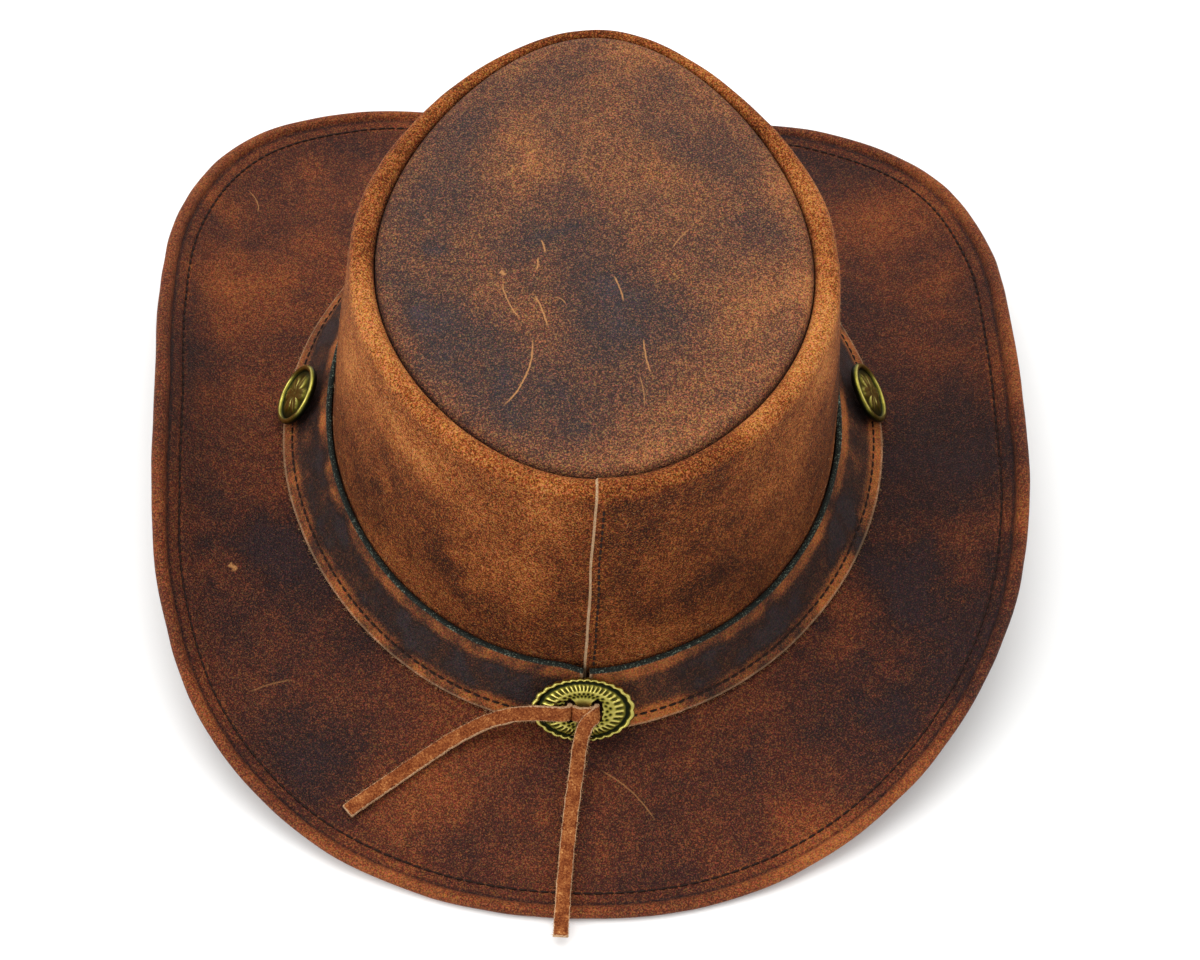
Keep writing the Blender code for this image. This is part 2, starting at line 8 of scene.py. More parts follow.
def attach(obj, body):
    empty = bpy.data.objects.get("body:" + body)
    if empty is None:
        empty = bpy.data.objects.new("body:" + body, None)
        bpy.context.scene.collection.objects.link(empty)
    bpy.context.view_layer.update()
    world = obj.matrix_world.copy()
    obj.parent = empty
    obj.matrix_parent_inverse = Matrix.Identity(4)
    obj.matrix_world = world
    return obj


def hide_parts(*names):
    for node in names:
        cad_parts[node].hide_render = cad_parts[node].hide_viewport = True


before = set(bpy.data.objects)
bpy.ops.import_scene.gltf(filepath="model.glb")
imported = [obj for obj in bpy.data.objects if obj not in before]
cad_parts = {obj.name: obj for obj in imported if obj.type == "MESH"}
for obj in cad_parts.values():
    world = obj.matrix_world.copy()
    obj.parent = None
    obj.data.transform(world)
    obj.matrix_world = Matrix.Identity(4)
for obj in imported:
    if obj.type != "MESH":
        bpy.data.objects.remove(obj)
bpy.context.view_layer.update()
print("frame loaded")

# Metres, +Z up, the front of the hat towards -Y. Pieces are worked out round the crown's middle.
hat = {
    "middle": Vector((0.00107, -0.01049, 0.0)),
    "headLength": 0.202,
    "headWidth": 0.166,
    "crownLeather": 0.0018,
    "brimLeather": 0.0022,
    "bandLeather": 0.0020,
    "gap": 0.0003,
}


def mix(a, b, share):
    return a + (b - a) * share


def bump(value, middle, width):
    return math.exp(-((value - middle) / width) ** 2)


def lifted(plan, height):
    return Vector((plan.x, plan.y, height))


def smooth(share):
    share = min(max(share, 0.0), 1.0)
    return share * share * (3 - 2 * share)


def ripple(place, size, seed=0.0):
    return noise.noise(Vector(place) / size + Vector((seed, seed * 0.7, -seed)))


def catmull(a, b, c, d, t):
    return b + 0.5 * t * (c - a + t * (2 * a - 5 * b + 4 * c - d + t * (3 * (b - c) + d - a)))


def smoothLine(points, spacing):
    ends = [2 * points[0] - points[1], *points, 2 * points[-1] - points[-2]]
    fine = []
    for a, b, c, d in zip(ends, ends[1:], ends[2:], ends[3:]):
        fine += [catmull(a, b, c, d, step / 24) for step in range(24)]
    fine.append(points[-1])
    lengths = [0.0]
    for a, b in zip(fine, fine[1:]):
        lengths.append(lengths[-1] + (b.xyz - a.xyz).length)
    count = max(round(lengths[-1] / spacing), 2)
    line = []
    index = 0
    for step in range(count + 1):
        target = lengths[-1] * step / count
        while index < len(fine) - 2 and lengths[index + 1] < target:
            index += 1
        share = (target - lengths[index]) / (lengths[index + 1] - lengths[index])
        line.append(fine[index].lerp(fine[index + 1], share))
    return line


camera = {
    "distance": 1.150,
    "elevation": 54.67,
    "azimuth": 2.7,
    "roll": 4.35,
    "pixelsPerMetre": 2913,
    "middle": (580.8, 464.2),
    "frame": (1200, 960),
    "sensor": 36,
}


def makeCamera():
    rise = math.radians(camera["elevation"])
    turn = math.radians(camera["azimuth"])
    roll = math.radians(camera["roll"])
    back = Vector((math.sin(turn) * math.cos(rise), math.cos(turn) * math.cos(rise), math.sin(rise)))
    level = (-back).cross(Vector((0, 0, 1))).normalized()
    upright = level.cross(-back)
    right = level * math.cos(roll) + upright * math.sin(roll)
    up = upright * math.cos(roll) - level * math.sin(roll)
    focal = camera["pixelsPerMetre"] * camera["distance"]
    width, height = camera["frame"]
    asideX = (camera["middle"][0] - width / 2) / camera["pixelsPerMetre"]
    asideY = (camera["middle"][1] - height / 2) / camera["pixelsPerMetre"]
    place = back * camera["distance"] - right * asideX + up * asideY + hat["middle"]
    data = bpy.data.cameras.new("camera")
    data.sensor_width = camera["sensor"]
    data.lens = focal / width * camera["sensor"]
    item = bpy.data.objects.new("camera", data)
    bpy.context.scene.collection.objects.link(item)
    item.matrix_world = Matrix.Translation(place) @ Matrix((right, up, back)).transposed().to_4x4()
    bpy.context.scene.camera = item
    return item.matrix_world.copy()


photoTurn = makeCamera()
print("camera placed")


# The way that a point of the photo, given in its pixels, looks from the camera
def photoRay(across, down):
    focal = camera["pixelsPerMetre"] * camera["distance"]
    width, height = camera["frame"]
    ahead = Vector(((across - width / 2) / focal, (height / 2 - down) / focal, -1.0))
    return photoTurn.translation - hat["middle"], (photoTurn.to_3x3() @ ahead).normalized()


# Brim and crown surfaces, the same sizes as the solids

brim = {
    "width": 0.0730,
    "root": 0.0125,
    "sideRise": 0.0380,
    "hem": 0.0088,
    "curlLeft": 2.7,
    "curlRight": 2.2,
    "columns": 600,
    "rows": 34,
}

# Reach and rise of the brim every 15 degrees from the back, as shares of its width and side rise
brimOutline = [
    {"left": 1.000, "right": 1.000, "rise": 0.00},
    {"left": 1.020, "right": 1.010, "rise": 0.00},
    {"left": 1.058, "right": 1.026, "rise": 0.13},
    {"left": 1.044, "right": 1.024, "rise": 0.43},
    {"left": 0.945, "right": 0.990, "rise": 0.76},
    {"left": 0.840, "right": 0.920, "rise": 0.95},
    {"left": 0.816, "right": 0.868, "rise": 1.00},
    {"left": 0.902, "right": 0.900, "rise": 0.95},
    {"left": 1.051, "right": 1.014, "rise": 0.76},
    {"left": 1.138, "right": 1.100, "rise": 0.43},
    {"left": 1.030, "right": 1.022, "rise": 0.13},
    {"left": 0.792, "right": 0.808, "rise": 0.00},
    {"left": 0.682, "right": 0.682, "rise": 0.00},
]


def outlineValue(left, right, angle):
    ring = [row[left] for row in brimOutline] + [row[right] for row in brimOutline][-2:0:-1]
    place = (angle % math.tau) / math.tau * len(ring)
    index = int(place)
    a, b, c, d = (ring[(index + step) % len(ring)] for step in (-1, 0, 1, 2))
    return catmull(a, b, c, d, place - index)


def openingRadius(angle):
    return 1 / math.hypot(math.sin(angle) / (hat["headWidth"] / 2), math.cos(angle) / (hat["headLength"] / 2))


def brimReach(angle):
    return openingRadius(angle) + hat["crownLeather"] + brim["width"] * outlineValue("left", "right", angle)


def brimUnderside(angle, radius):
    start = openingRadius(angle)
    edge = brimReach(angle)
    share = min(max((radius - start) / (edge - start), 0.0), 1.0)
    flat = 1 - brim["hem"] / (edge - start)
    fall = brim["root"] * (1 - smooth(share / flat))
    curl = mix(brim["curlRight"], brim["curlLeft"], 0.5 + 0.5 * math.sin(angle))
    climb = brim["root"] + (brim["sideRise"] - brim["root"]) * (0.2 * share + 0.8 * share ** curl)
    return mix(fall, climb, max(outlineValue("rise", "rise", angle), 0.0))


def brimSlope(angle, radius, step=0.001):
    return (brimUnderside(angle, radius + step) - brimUnderside(angle, radius - step)) / (2 * step)


def brimTop(x, y):
    angle = math.atan2(x, y)
    radius = math.hypot(x, y)
    return brimUnderside(angle, radius) + hat["brimLeather"] * math.hypot(1.0, brimSlope(angle, radius))


crown = {
    "tipLength": 0.1752,
    "tipWidth": 0.1376,
    "tipSetback": 0.0008,
    "seam": 0.1170,
    "tilt": 0.020,
    "dome": 0.0045,
    "tipTop": 0.1245,
    "shoulder": 0.0034,
    "ridge": 0.0082,
    "ridgeFront": 0.0040,
    "allowance": 0.0040,
    "bulge": 0.0010,
    "lapStep": 0.0016,
    "lapFade": 0.0350,
    "lapEdge": -0.0023,
    "lapBevel": 0.0009,
    "columns": 420,
}
lapAngle = math.asin(crown["lapEdge"] / (hat["headWidth"] / 2))
crownFoot = brim["root"] + hat["brimLeather"] + hat["gap"]


def tipPlace(turn):
    c = math.cos(turn)
    pear = 1 + 0.10 * c - 0.14 * c * c - 0.04 * c ** 3
    across = crown["tipWidth"] / 2 * math.sin(turn) * pear
    return Vector((across, crown["tipSetback"] + crown["tipLength"] / 2 * c))


def tipOutward(angle):
    ahead = tipPlace(angle + 0.01) - tipPlace(angle - 0.01)
    return Vector((-ahead.y, ahead.x)).normalized()


def tipOutline(angle, offset=0.0):
    return tipPlace(angle) + tipOutward(angle) * offset


def seamHeight(y):
    return crown["seam"] - crown["tilt"] * y


def ridgeRadius(angle):
    width = mix(crown["ridge"], crown["ridgeFront"], smooth(-0.15 - 1.15 * math.cos(angle)))
    return (width - 2 * hat["crownLeather"] - hat["gap"] / 2) / 2


def ridgeCentre(angle):
    plan = tipOutline(angle, hat["gap"] / 2 + hat["crownLeather"] + ridgeRadius(angle))
    return plan, seamHeight(plan.y)


def wallInside(angle, share, offset=0.0):
    base = Vector((hat["headWidth"] / 2 * math.sin(angle), hat["headLength"] / 2 * math.cos(angle)))
    top = tipOutline(angle, hat["gap"] / 2 + hat["crownLeather"] + 2 * ridgeRadius(angle))
    plan = base.lerp(top, share)
    plan = plan + plan.normalized() * (crown["bulge"] * math.sin(math.pi * share) + offset)
    return Vector((plan.x, plan.y, mix(crownFoot, ridgeCentre(angle)[1], share)))


def wallShare(height):
    return max((height - crownFoot) / (crown["seam"] - crownFoot), 0.0)


band = {
    "height": 0.0205,
    "width": 0.0228,
    "hollow": 0.85,
    "opening": 0.0024,
    "stitchShare": 0.17,
    "columns": 520,
    "rows": 44,
}


def lapStep(angle):
    fade = crown["lapFade"] / (hat["headLength"] / 2)
    past = (lapAngle - angle) % math.tau
    return crown["lapStep"] * (1 - smooth(past / fade)) if past < fade else 0.0


def lapCover(angle):
    fade = crown["lapFade"] / (hat["headLength"] / 2)
    if (lapAngle - angle) % math.tau < fade:
        return lapStep(angle) + hat["gap"]
    before = (angle - lapAngle) % math.tau / (fade / 4)
    return crown["lapStep"] * (1 - smooth(before)) + hat["gap"] if before < 1 else 0.0


def bandFoot(angle):
    clear = hat["bandLeather"] / 2 + hat["gap"]
    foot = wallInside(angle, 0.0, hat["crownLeather"] + lapCover(angle) + clear)
    outward = foot.to_2d().normalized()
    top = crownFoot + band["height"]
    spread = 0.0
    for _ in range(12):
        edge = foot.to_2d() + outward * spread
        low = brimTop(edge.x, edge.y) + clear
        spread = math.sqrt(max(band["width"] ** 2 - (top - low) ** 2, hat["bandLeather"] ** 2))
    return outward, spread, low, top, clear


def bandPoint(angle, turn, foot=None):
    outward, spread, low, top, clear = foot or bandFoot(angle)
    power = 2 / band["hollow"]
    height = mix(low, top, math.sin(turn) ** power)
    face = wallInside(angle, wallShare(height), hat["crownLeather"] + lapCover(angle) + clear)
    plan = face.to_2d() + outward * (spread * math.cos(turn) ** power)
    return Vector((plan.x, plan.y, max(height, brimTop(plan.x, plan.y) + clear)))


def bandFace(angle, turn):
    step = 0.01
    ahead = bandPoint(angle + step, turn) - bandPoint(angle - step, turn)
    above = bandPoint(angle, min(turn + step, math.pi / 2)) - bandPoint(angle, max(turn - step, 0.0))
    middle = bandPoint(angle, turn)
    outward = above.cross(ahead).normalized()
    if outward.to_2d().dot(middle.to_2d()) < 0:
        outward = -outward
    return middle + outward * (hat["bandLeather"] / 2)


def seatOn(angle, tilt, share, halfWidth, halfHeight):
    facing = wallInside(angle + 0.01, 0.0) - wallInside(angle - 0.01, 0.0)
    side = Vector((facing.x, facing.y, 0.0)).normalized()
    flat = Vector((-side.y, side.x, 0.0))
    rise = math.radians(tilt)
    outward = flat * math.cos(rise) + Vector((0, 0, 1)) * math.sin(rise)
    upward = outward.cross(side)
    if upward.z < 0:
        upward = -upward
        side = -side
    turns = [math.radians(degrees) for degrees in (0, 24, 36, 48, 60, 74, 90)]
    middle = bandFace(angle, turns[0]).lerp(bandFace(angle, turns[-1]), share)
    best = -1.0
    for step in range(-16, 17):
        around = angle + step * halfWidth / 8 / (hat["headLength"] / 2)
        for turn in turns:
            near = bandFace(around, turn) - middle
            if (near.dot(side) / halfWidth) ** 2 + (near.dot(upward) / halfHeight) ** 2 <= 1.1:
                best = max(best, near.dot(outward))
    middle = middle + outward * (best + hat["gap"])
    return {"middle": middle, "side": side, "upward": upward, "outward": outward}


# Where a point of the photo lies on each piece
search = {
    "nearest": 0.95,
    "step": 0.00025,
    "steps": 1400,
    "low": 0.015,
    "high": 0.12,
    "brimHeight": 0.01,
    "brimShare": 0.6,
}


def tipAt(across, down):
    start, ahead = photoRay(across, down)
    return start + ahead * ((crown["tipTop"] - start.z) / ahead.z)


def brimAt(across, down):
    start, ahead = photoRay(across, down)
    height = search["brimHeight"]
    for _ in range(30):
        place = start + ahead * ((height - start.z) / ahead.z)
        height = mix(height, brimTop(place.x, place.y), search["brimShare"])
    return place


def wallAt(across, down):
    start, ahead = photoRay(across, down)
    for step in range(search["steps"]):
        place = start + ahead * (search["nearest"] + step * search["step"])
        if search["low"] < place.z < search["high"]:
            face = wallInside(math.atan2(place.x, place.y), wallShare(place.z), hat["crownLeather"])
            if place.to_2d().length <= face.to_2d().length:
                break
    return place


def photoSpots(find, rows):
    return [(find(*row["photo"]), row["reach"], row["tone"]) for row in rows]


def newPiece(name, mesh):
    piece = bpy.data.objects.new(name, mesh)
    bpy.context.scene.collection.objects.link(piece)
    return piece


def outwardFaces(mesh):
    work = bmesh.new()
    work.from_mesh(mesh)
    bmesh.ops.recalc_face_normals(work, faces=work.faces)
    work.to_mesh(mesh)
    work.free()
    mesh.shade_smooth()


def gridPiece(name, rows, joinColumns=True, joinRows=False, layers=None, capEnds=False, capRows=False):
    mesh = bpy.data.meshes.new(name)
    columns = len(rows[0])
    points = [tuple(point + hat["middle"]) for row in rows for point in row]
    faces = []
    for low in range(len(rows) if joinRows else len(rows) - 1):
        high = (low + 1) % len(rows)
        for index in range(columns if joinColumns else columns - 1):
            after = (index + 1) % columns
            faces.append((low * columns + index, high * columns + index,
                          high * columns + after, low * columns + after))
    if capEnds:
        half = len(rows) // 2
        for column in (0, columns - 1):
            for low in range(half - 1):
                twin = len(rows) - 1 - low
                faces.append((low * columns + column, (low + 1) * columns + column,
                              (twin - 1) * columns + column, twin * columns + column))
    if capRows:
        for row in (0, len(rows) - 1):
            ring = points[row * columns:(row + 1) * columns]
            points.append(tuple(sum((Vector(point) for point in ring), Vector()) / columns))
            for index in range(columns):
                faces.append((row * columns + index, row * columns + (index + 1) % columns, len(points) - 1))
    mesh.from_pydata(points, [], faces)
    for layer, values in (layers or {}).items():
        flat = [value for row in values for value in row]
        if len(points) > len(flat):
            flat += [values[0][0], values[-1][0]]
        mesh.attributes.new(layer, "FLOAT", "POINT").data.foreach_set("value", flat)
    outwardFaces(mesh)
    return newPiece(name, mesh)


# Oval concho over the gap in the band, which the thong passes through
concho = {
    "width": 0.0334,
    "height": 0.0214,
    "thickness": 0.0012,
    "dish": 0.0022,
    "scallops": 28,
    "scallopDepth": 0.0006,
    "flutes": 40,
    "dots": 26,
    "dotRings": ((0.525, 0.0), (0.455, 0.5)),
    "slotWidth": 0.0034,
    "slotLength": 0.0078,
    "bridge": 0.0052,
    "side": -0.0016,
    "tilt": 40.0,
    "seat": 0.42,
}
conchoSeat = seatOn(
    math.asin(concho["side"] / (hat["headWidth"] / 2)), concho["tilt"], concho["seat"],
    concho["width"] / 2, concho["height"] / 2,
)

# Suede thong, cut square at its ends and lying on the brim

lace = {
    "width": 0.0048,
    "thickness": 0.0018,
    "corner": 0.0005,
    "spacing": 0.0008,
}
laceRoutes = {
    "lace_left": [
        (0.0025, 0.1152, 0.0271, 0.0), (0.0026, 0.1170, 0.0286, 0.0), (0.0042, 0.1182, 0.0296, 0.0),
        (0.0077, 0.1182, 0.0295, 0.0), (0.0128, 0.1175, 0.0283, 0.05), (0.0185, 0.1161, 0.0250, 0.35),
        (0.0250, 0.1156, 0.0212, 0.75), (0.0320, 0.1168, 0.0173, 1.0), (0.0400, 0.1200, 0.0134, 1.0),
        (0.0479, 0.1247, 0.0104, 1.0), (0.0556, 0.1302, 0.0085, 1.0), (0.0635, 0.1362, 0.0071, 1.0),
        (0.0717, 0.1431, 0.0065, 1.0),
    ],
    "lace_back": [
        (-0.0061, 0.1149, 0.0269, 0.0), (-0.0060, 0.1170, 0.0287, 0.1), (-0.0049, 0.1190, 0.0294, 0.5),
        (-0.0029, 0.1212, 0.0284, 0.9), (-0.0015, 0.1238, 0.0246, 1.0), (-0.0009, 0.1265, 0.0198, 1.0),
        (-0.0004, 0.1306, 0.0150, 1.0), (0.0005, 0.1380, 0.0101, 1.0), (0.0014, 0.1480, 0.0067, 1.0),
        (0.0020, 0.1580, 0.0048, 1.0), (0.0025, 0.1665, 0.0044, 1.0), (0.0028, 0.1735, 0.0055, 1.0),
        (0.0030, 0.1785, 0.0053, 1.0), (0.0031, 0.1836, 0.0045, 1.0),
    ],
}


def laceAcross(along, place, flat):
    step = 0.002
    slopeX = (brimTop(place.x + step, place.y) - brimTop(place.x - step, place.y)) / (2 * step)
    slopeY = (brimTop(place.x, place.y + step) - brimTop(place.x, place.y - step)) / (2 * step)
    level = Vector((-slopeX, -slopeY, 1.0)).cross(along).normalized()
    slot = conchoSeat["upward"]
    if level.dot(slot) < 0:
        level = -level
    across = slot.lerp(level, flat)
    return (across - along * across.dot(along)).normalized()


def laceSection():
    halfWidth = lace["width"] / 2
    half = lace["thickness"] / 2
    ring = []
    for cornerX, cornerY, first in ((1, 1, 0), (-1, 1, 90), (-1, -1, 180), (1, -1, 270)):
        for turn in (0, 30, 60, 90):
            angle = math.radians(first + turn)
            ring.append((cornerX * (halfWidth - lace["corner"]) + lace["corner"] * math.cos(angle),
                         cornerY * (half - lace["corner"]) + lace["corner"] * math.sin(angle)))
        if cornerY == cornerX:  # three more points on the wide faces
            for share in (0.25, 0.5, 0.75):
                ring.append((cornerX * mix(halfWidth, -halfWidth, share) * 0.9, cornerY * half))
    return ring


def stripPiece(name, rows, seed):
    line = smoothLine([Vector(row) for row in rows], lace["spacing"])
    path = [point.xyz for point in line]
    section = laceSection()
    rings = []
    edge = []
    for index, point in enumerate(line):
        along = (path[min(index + 1, len(path) - 1)] - path[max(index - 1, 0)]).normalized()
        across = laceAcross(along, point.xyz, min(max(point.w, 0.0), 1.0))
        up = along.cross(across).normalized()
        ring = []
        shares = []
        for number, (x, y) in enumerate(section):
            share = abs(x) / (lace["width"] / 2)
            place = (index * lace["spacing"], seed + math.copysign(0.02, x), 0.0)
            ragged = 1 + 0.10 * ripple(place, 0.004) + 0.05 * ripple(place, 0.0012)
            lump = 1 + 0.10 * ripple((index * lace["spacing"], x, seed), 0.003)
            ring.append(point.xyz + across * x * ragged + up * y * lump)
            shares.append(smooth((share - 0.72) / 0.25))
        rings.append(ring)
        edge.append(shares)
    edge[0] = edge[-1] = [1.0] * len(section)
    piece = gridPiece(name, rings, True, False, {"edge": edge}, capRows=True)
    return piece, [point + hat["middle"] for point in path]


laces = {}
for node, rows in laceRoutes.items():
    piece, path = stripPiece(node.replace("lace_", "thong_"), rows, 0.3 if node == "lace_left" else 0.7)
    laces[node] = (piece, path)
    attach(piece, "root")
    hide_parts(node)
print("laces laid")


# Brim leather: a single sheet whose edge is rolled over a wire, folded under and stitched

brimEdge = {
    "roll": 0.0020,
    "stitchIn": 0.0085,
    "foldIn": 0.0118,
    "foldStep": 0.0009,
    "wave": 0.00035,
}
# Top and underside of the hem by distance in from the edge, all in millimetres
hemTop = [
    (4.1, 2.55), (4.8, 2.08), (5.6, 2.28), (7.2, 2.46), (8.0, 2.30), (8.5, 2.12), (9.0, 2.28), (10.0, 2.42),
    (12.5, 2.24),
]
hemUnder = [
    (12.6, 0.90), (11.9, 0.88), (11.7, 0.05), (9.2, 0.0), (8.5, 0.14), (7.8, 0.0), (5.4, 0.02), (4.6, 0.24),
    (4.0, 0.26),
]


def brimWave(place, angle, radius):
    inside = smooth((radius - openingRadius(angle) - 0.030) / 0.020)
    return brimEdge["wave"] * ripple(place, 0.030) * inside * smooth((brimReach(angle) - radius) / 0.012)


def brimSectionRow(angle):
    edge = brimReach(angle)
    start = openingRadius(angle) + 0.0004
    inner = edge - 0.0128
    section = []
    for number in range(brim["rows"]):
        share = number / (brim["rows"] - 1)
        radius = mix(start, inner, share)
        section.append((radius, hat["brimLeather"], share))
    for distance, height in reversed(hemTop):
        section.append((edge - distance / 1000, height / 1000, 1 + (12.8 - distance) / 12.8))
    roll = brimEdge["roll"]
    for turn in range(150, -151, -20):
        angleTurn = math.radians(turn)
        distance = roll - roll * math.cos(angleTurn)
        section.append((edge - distance, roll + roll * math.sin(angleTurn), 2.0))
    for distance, height in reversed(hemUnder):
        section.append((edge - distance / 1000, height / 1000, 1.5))
    for number in range(brim["rows"] // 2):
        share = number / (brim["rows"] // 2 - 1)
        section.append((mix(inner, start, share), brimEdge["foldStep"], 1 - share))
    return section


def rubPatch(place, spots):
    total = 0.0
    ragged = 1 + 0.9 * ripple(place, 0.020, 4.0) + 0.35 * ripple(place, 0.007, 9.0)
    for middle, reach, tone in spots:
        total += tone * (1 - smooth((place - middle).length / reach * ragged))
    return total


# Worn and waxy places, by their point in the photo, their reach and their lift or fall of tone; the darkest,
# near the band, take the painted violet-grey sheen
brimSpots = photoSpots(brimAt, [
    {"photo": (250, 150), "reach": 0.045, "tone": -0.03},
    {"photo": (230, 290), "reach": 0.030, "tone": 0.22},
    {"photo": (300, 250), "reach": 0.035, "tone": 0.07},
    {"photo": (210, 450), "reach": 0.050, "tone": -0.23},
    {"photo": (290, 560), "reach": 0.032, "tone": -0.24},
    {"photo": (250, 620), "reach": 0.040, "tone": -0.06},
    {"photo": (380, 640), "reach": 0.024, "tone": -0.06},
    {"photo": (330, 760), "reach": 0.035, "tone": -0.14},
    {"photo": (450, 760), "reach": 0.028, "tone": 0.13},
    {"photo": (480, 850), "reach": 0.030, "tone": 0.10},
    {"photo": (640, 780), "reach": 0.026, "tone": 0.12},
    {"photo": (700, 840), "reach": 0.030, "tone": 0.10},
    {"photo": (820, 740), "reach": 0.045, "tone": -0.14},
    {"photo": (930, 640), "reach": 0.045, "tone": -0.20},
    {"photo": (960, 450), "reach": 0.055, "tone": -0.20},
    {"photo": (930, 320), "reach": 0.030, "tone": 0.08},
    {"photo": (890, 225), "reach": 0.028, "tone": 0.16},
    {"photo": (850, 180), "reach": 0.035, "tone": -0.06},
    {"photo": (900, 560), "reach": 0.034, "tone": -0.18},
    {"photo": (610, 860), "reach": 0.030, "tone": 0.04},
])


def makeBrim():
    angles = [math.tau * index / brim["columns"] for index in range(brim["columns"])]
    rows = None
    tone = []
    wear = []
    for angle in angles:
        section = brimSectionRow(angle)
        if rows is None:
            rows = [[] for _ in section]
            tone = [[] for _ in section]
            wear = [[] for _ in section]
            topRows = brim["rows"] + len(hemTop) + 16
            outer = [[1.0 if number < topRows else 0.0] * len(angles) for number in range(len(section))]
        for number, (radius, height, share) in enumerate(section):
            slope = brimSlope(angle, min(radius, brimReach(angle) - 0.0011))
            lean = math.hypot(1.0, slope)
            flat = brimUnderside(angle, radius)
            x = radius - slope / lean * height
            place = Vector((x * math.sin(angle), x * math.cos(angle), flat + height / lean))
            place.z += brimWave(place, angle, radius)
            if share >= 1.9:  # the soft roll is a little uneven
                place += Vector((math.sin(angle), math.cos(angle), 0)) * 0.0003 * ripple(place, 0.012)
            rows[number].append(place)
            tone[number].append(rubPatch(place, brimSpots))
            beside = bump(share, 1.30, 0.035) + bump(share, 1.38, 0.03)
            rubbed = 0.6 + 0.8 * ripple(place, 0.011, 2.0)
            # Painted shade: the sunken groove inside the roll and the stitch groove are darkened
            grooveShade = 0.45 * bump(share, 1.625, 0.03) + 0.5 * bump(share, 1.336, 0.016)
            hemmed = 0.22 * smooth((share - 1.36) / 0.06)
            wear[number].append(smooth((share - 1.66) / 0.2) * 0.38 + hemmed + 0.40 * beside * rubbed - grooveShade)
    return gridPiece("brim_leather", rows, True, True, {"tone": tone, "wear": wear, "outer": outer})


brimPiece = makeBrim()
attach(brimPiece, "root")
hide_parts("brim")
print("brim made")


# Crown wall: one strip lapped over itself at the back, its top folded over as a soft ridge

wallSpots = photoSpots(wallAt, [
    {"photo": (350, 330), "reach": 0.055, "tone": 0.22},
    {"photo": (400, 420), "reach": 0.040, "tone": 0.18},
    {"photo": (345, 480), "reach": 0.034, "tone": 0.12},
    {"photo": (440, 560), "reach": 0.024, "tone": -0.18},
    {"photo": (390, 535), "reach": 0.030, "tone": 0.06},
    {"photo": (520, 580), "reach": 0.024, "tone": 0.12},
    {"photo": (480, 500), "reach": 0.020, "tone": -0.16},
    {"photo": (662, 604), "reach": 0.030, "tone": -0.20},
    {"photo": (740, 520), "reach": 0.032, "tone": -0.06},
    {"photo": (800, 420), "reach": 0.030, "tone": 0.14},
    {"photo": (700, 600), "reach": 0.030, "tone": -0.18},
    {"photo": (820, 330), "reach": 0.040, "tone": 0.22},
    {"photo": (560, 520), "reach": 0.020, "tone": 0.06},
])


def wallSection(angle, step):
    leather = hat["crownLeather"]
    section = []
    for number in range(38):
        share = number / 38
        section.append((wallInside(angle, share, leather + step * (1 - 0.3 * share)), share))
    plan, height = ridgeCentre(angle)
    outward = tipOutward(angle)
    radius = ridgeRadius(angle)
    for degrees in range(0, 181, 12):
        turn = math.radians(degrees)
        reach = radius + leather + step * 0.7 * (1 - smooth((degrees - 90) / 80))
        across = outward * reach * math.cos(turn)
        section.append((lifted(plan + across, height + reach * math.sin(turn)), 1.0 + degrees / 180))
    for inner, drop, share in ((radius + leather, 0.4, 2.0), (radius + leather, 1.0, 2.0), (radius, 1.0, 3.0),
                               (radius, 0.4, 3.0)):
        section.append((lifted(plan - outward * inner, height - crown["allowance"] * drop), share))
    for degrees in range(180, -1, -20):
        turn = math.radians(degrees)
        across = outward * radius * math.cos(turn)
        section.append((lifted(plan + across, height + radius * math.sin(turn)), 3.0))
    for number in range(18, -1, -1):
        section.append((wallInside(angle, number / 19), 4.0))
    return section


def wallWave(place, share):
    soft = smooth(share * 3) * (1 - smooth((share - 1.6) * 4))
    return Vector((place.x, place.y, 0)).normalized() * (0.00045 * ripple(place, 0.022, 3.1) * soft)


def makeWall():
    count = crown["columns"]
    bevel = crown["lapBevel"] / (hat["headLength"] / 2)
    reaches = (0.0042, 0.0034, 0.0027, 0.0021, 0.0014, 0.0007)
    near = [math.tau - reach / (hat["headLength"] / 2) for reach in reaches]
    turns = [bevel * 1.2 + (math.tau - bevel * 1.3) * index / count for index in range(count)]
    turns = [turn for turn in turns if turn < near[0] - 0.004] + near
    places = [(turn, lapStep(lapAngle + turn), 0.0) for turn in turns]
    for along, step, cut in ((0.0, 1.0, 0.0), (0.12, 0.96, 1.0), (0.55, 0.55, 1.0), (1.0, 0.04, 1.0)):
        places.append((math.tau + bevel * along, crown["lapStep"] * step, cut))
    rows = None
    for turn, step, cut in places:
        section = wallSection(lapAngle + turn, step)
        if rows is None:
            rows = [[] for _ in section]
            tone = [[] for _ in section]
            wear = [[] for _ in section]
            raw = [[] for _ in section]
            outer = [[1.0 if share <= 2.0 else 0.0] * len(places) for _, share in section]
        for number, (place, share) in enumerate(section):
            if share < 1.9:  # the cut edge isn't quite straight
                near = math.exp(-(min(turn, math.tau - turn) / 0.02) ** 2) if turn < math.tau else 1.0
                place = place + Vector((1, 0, 0)) * (0.0006 * near * ripple((0, 0, place.z), 0.016, 6.0))
            if share <= 2.0:
                place = place + wallWave(place, share)
            if 0.9 < share < 2.0:
                place.z += 0.00025 * ripple(place, 0.009, 5.0)
            rows[number].append(place)
            tone[number].append(rubPatch(place, wallSpots))
            ridge = smooth((share - 0.95) / 0.3) * (1 - smooth((share - 1.75) / 0.2)) if share < 2.0 else 0.0
            sewn = (math.tau - turn) * hat["headLength"] / 2
            puckers = 0.8 * ripple((0, 0, place.z), 0.0016, 2.0) + 0.5
            beside = math.exp(-((sewn - 0.0024) / 0.0010) ** 2) * (1 if share < 1.2 else 0)
            wear[number].append(0.35 * ridge + 0.45 * beside * puckers)
            raw[number].append(cut if share < 1.75 else 0.0)
    layers = {"tone": tone, "wear": wear, "raw": raw, "outer": outer}
    return gridPiece("crown_leather", rows, True, True, layers)


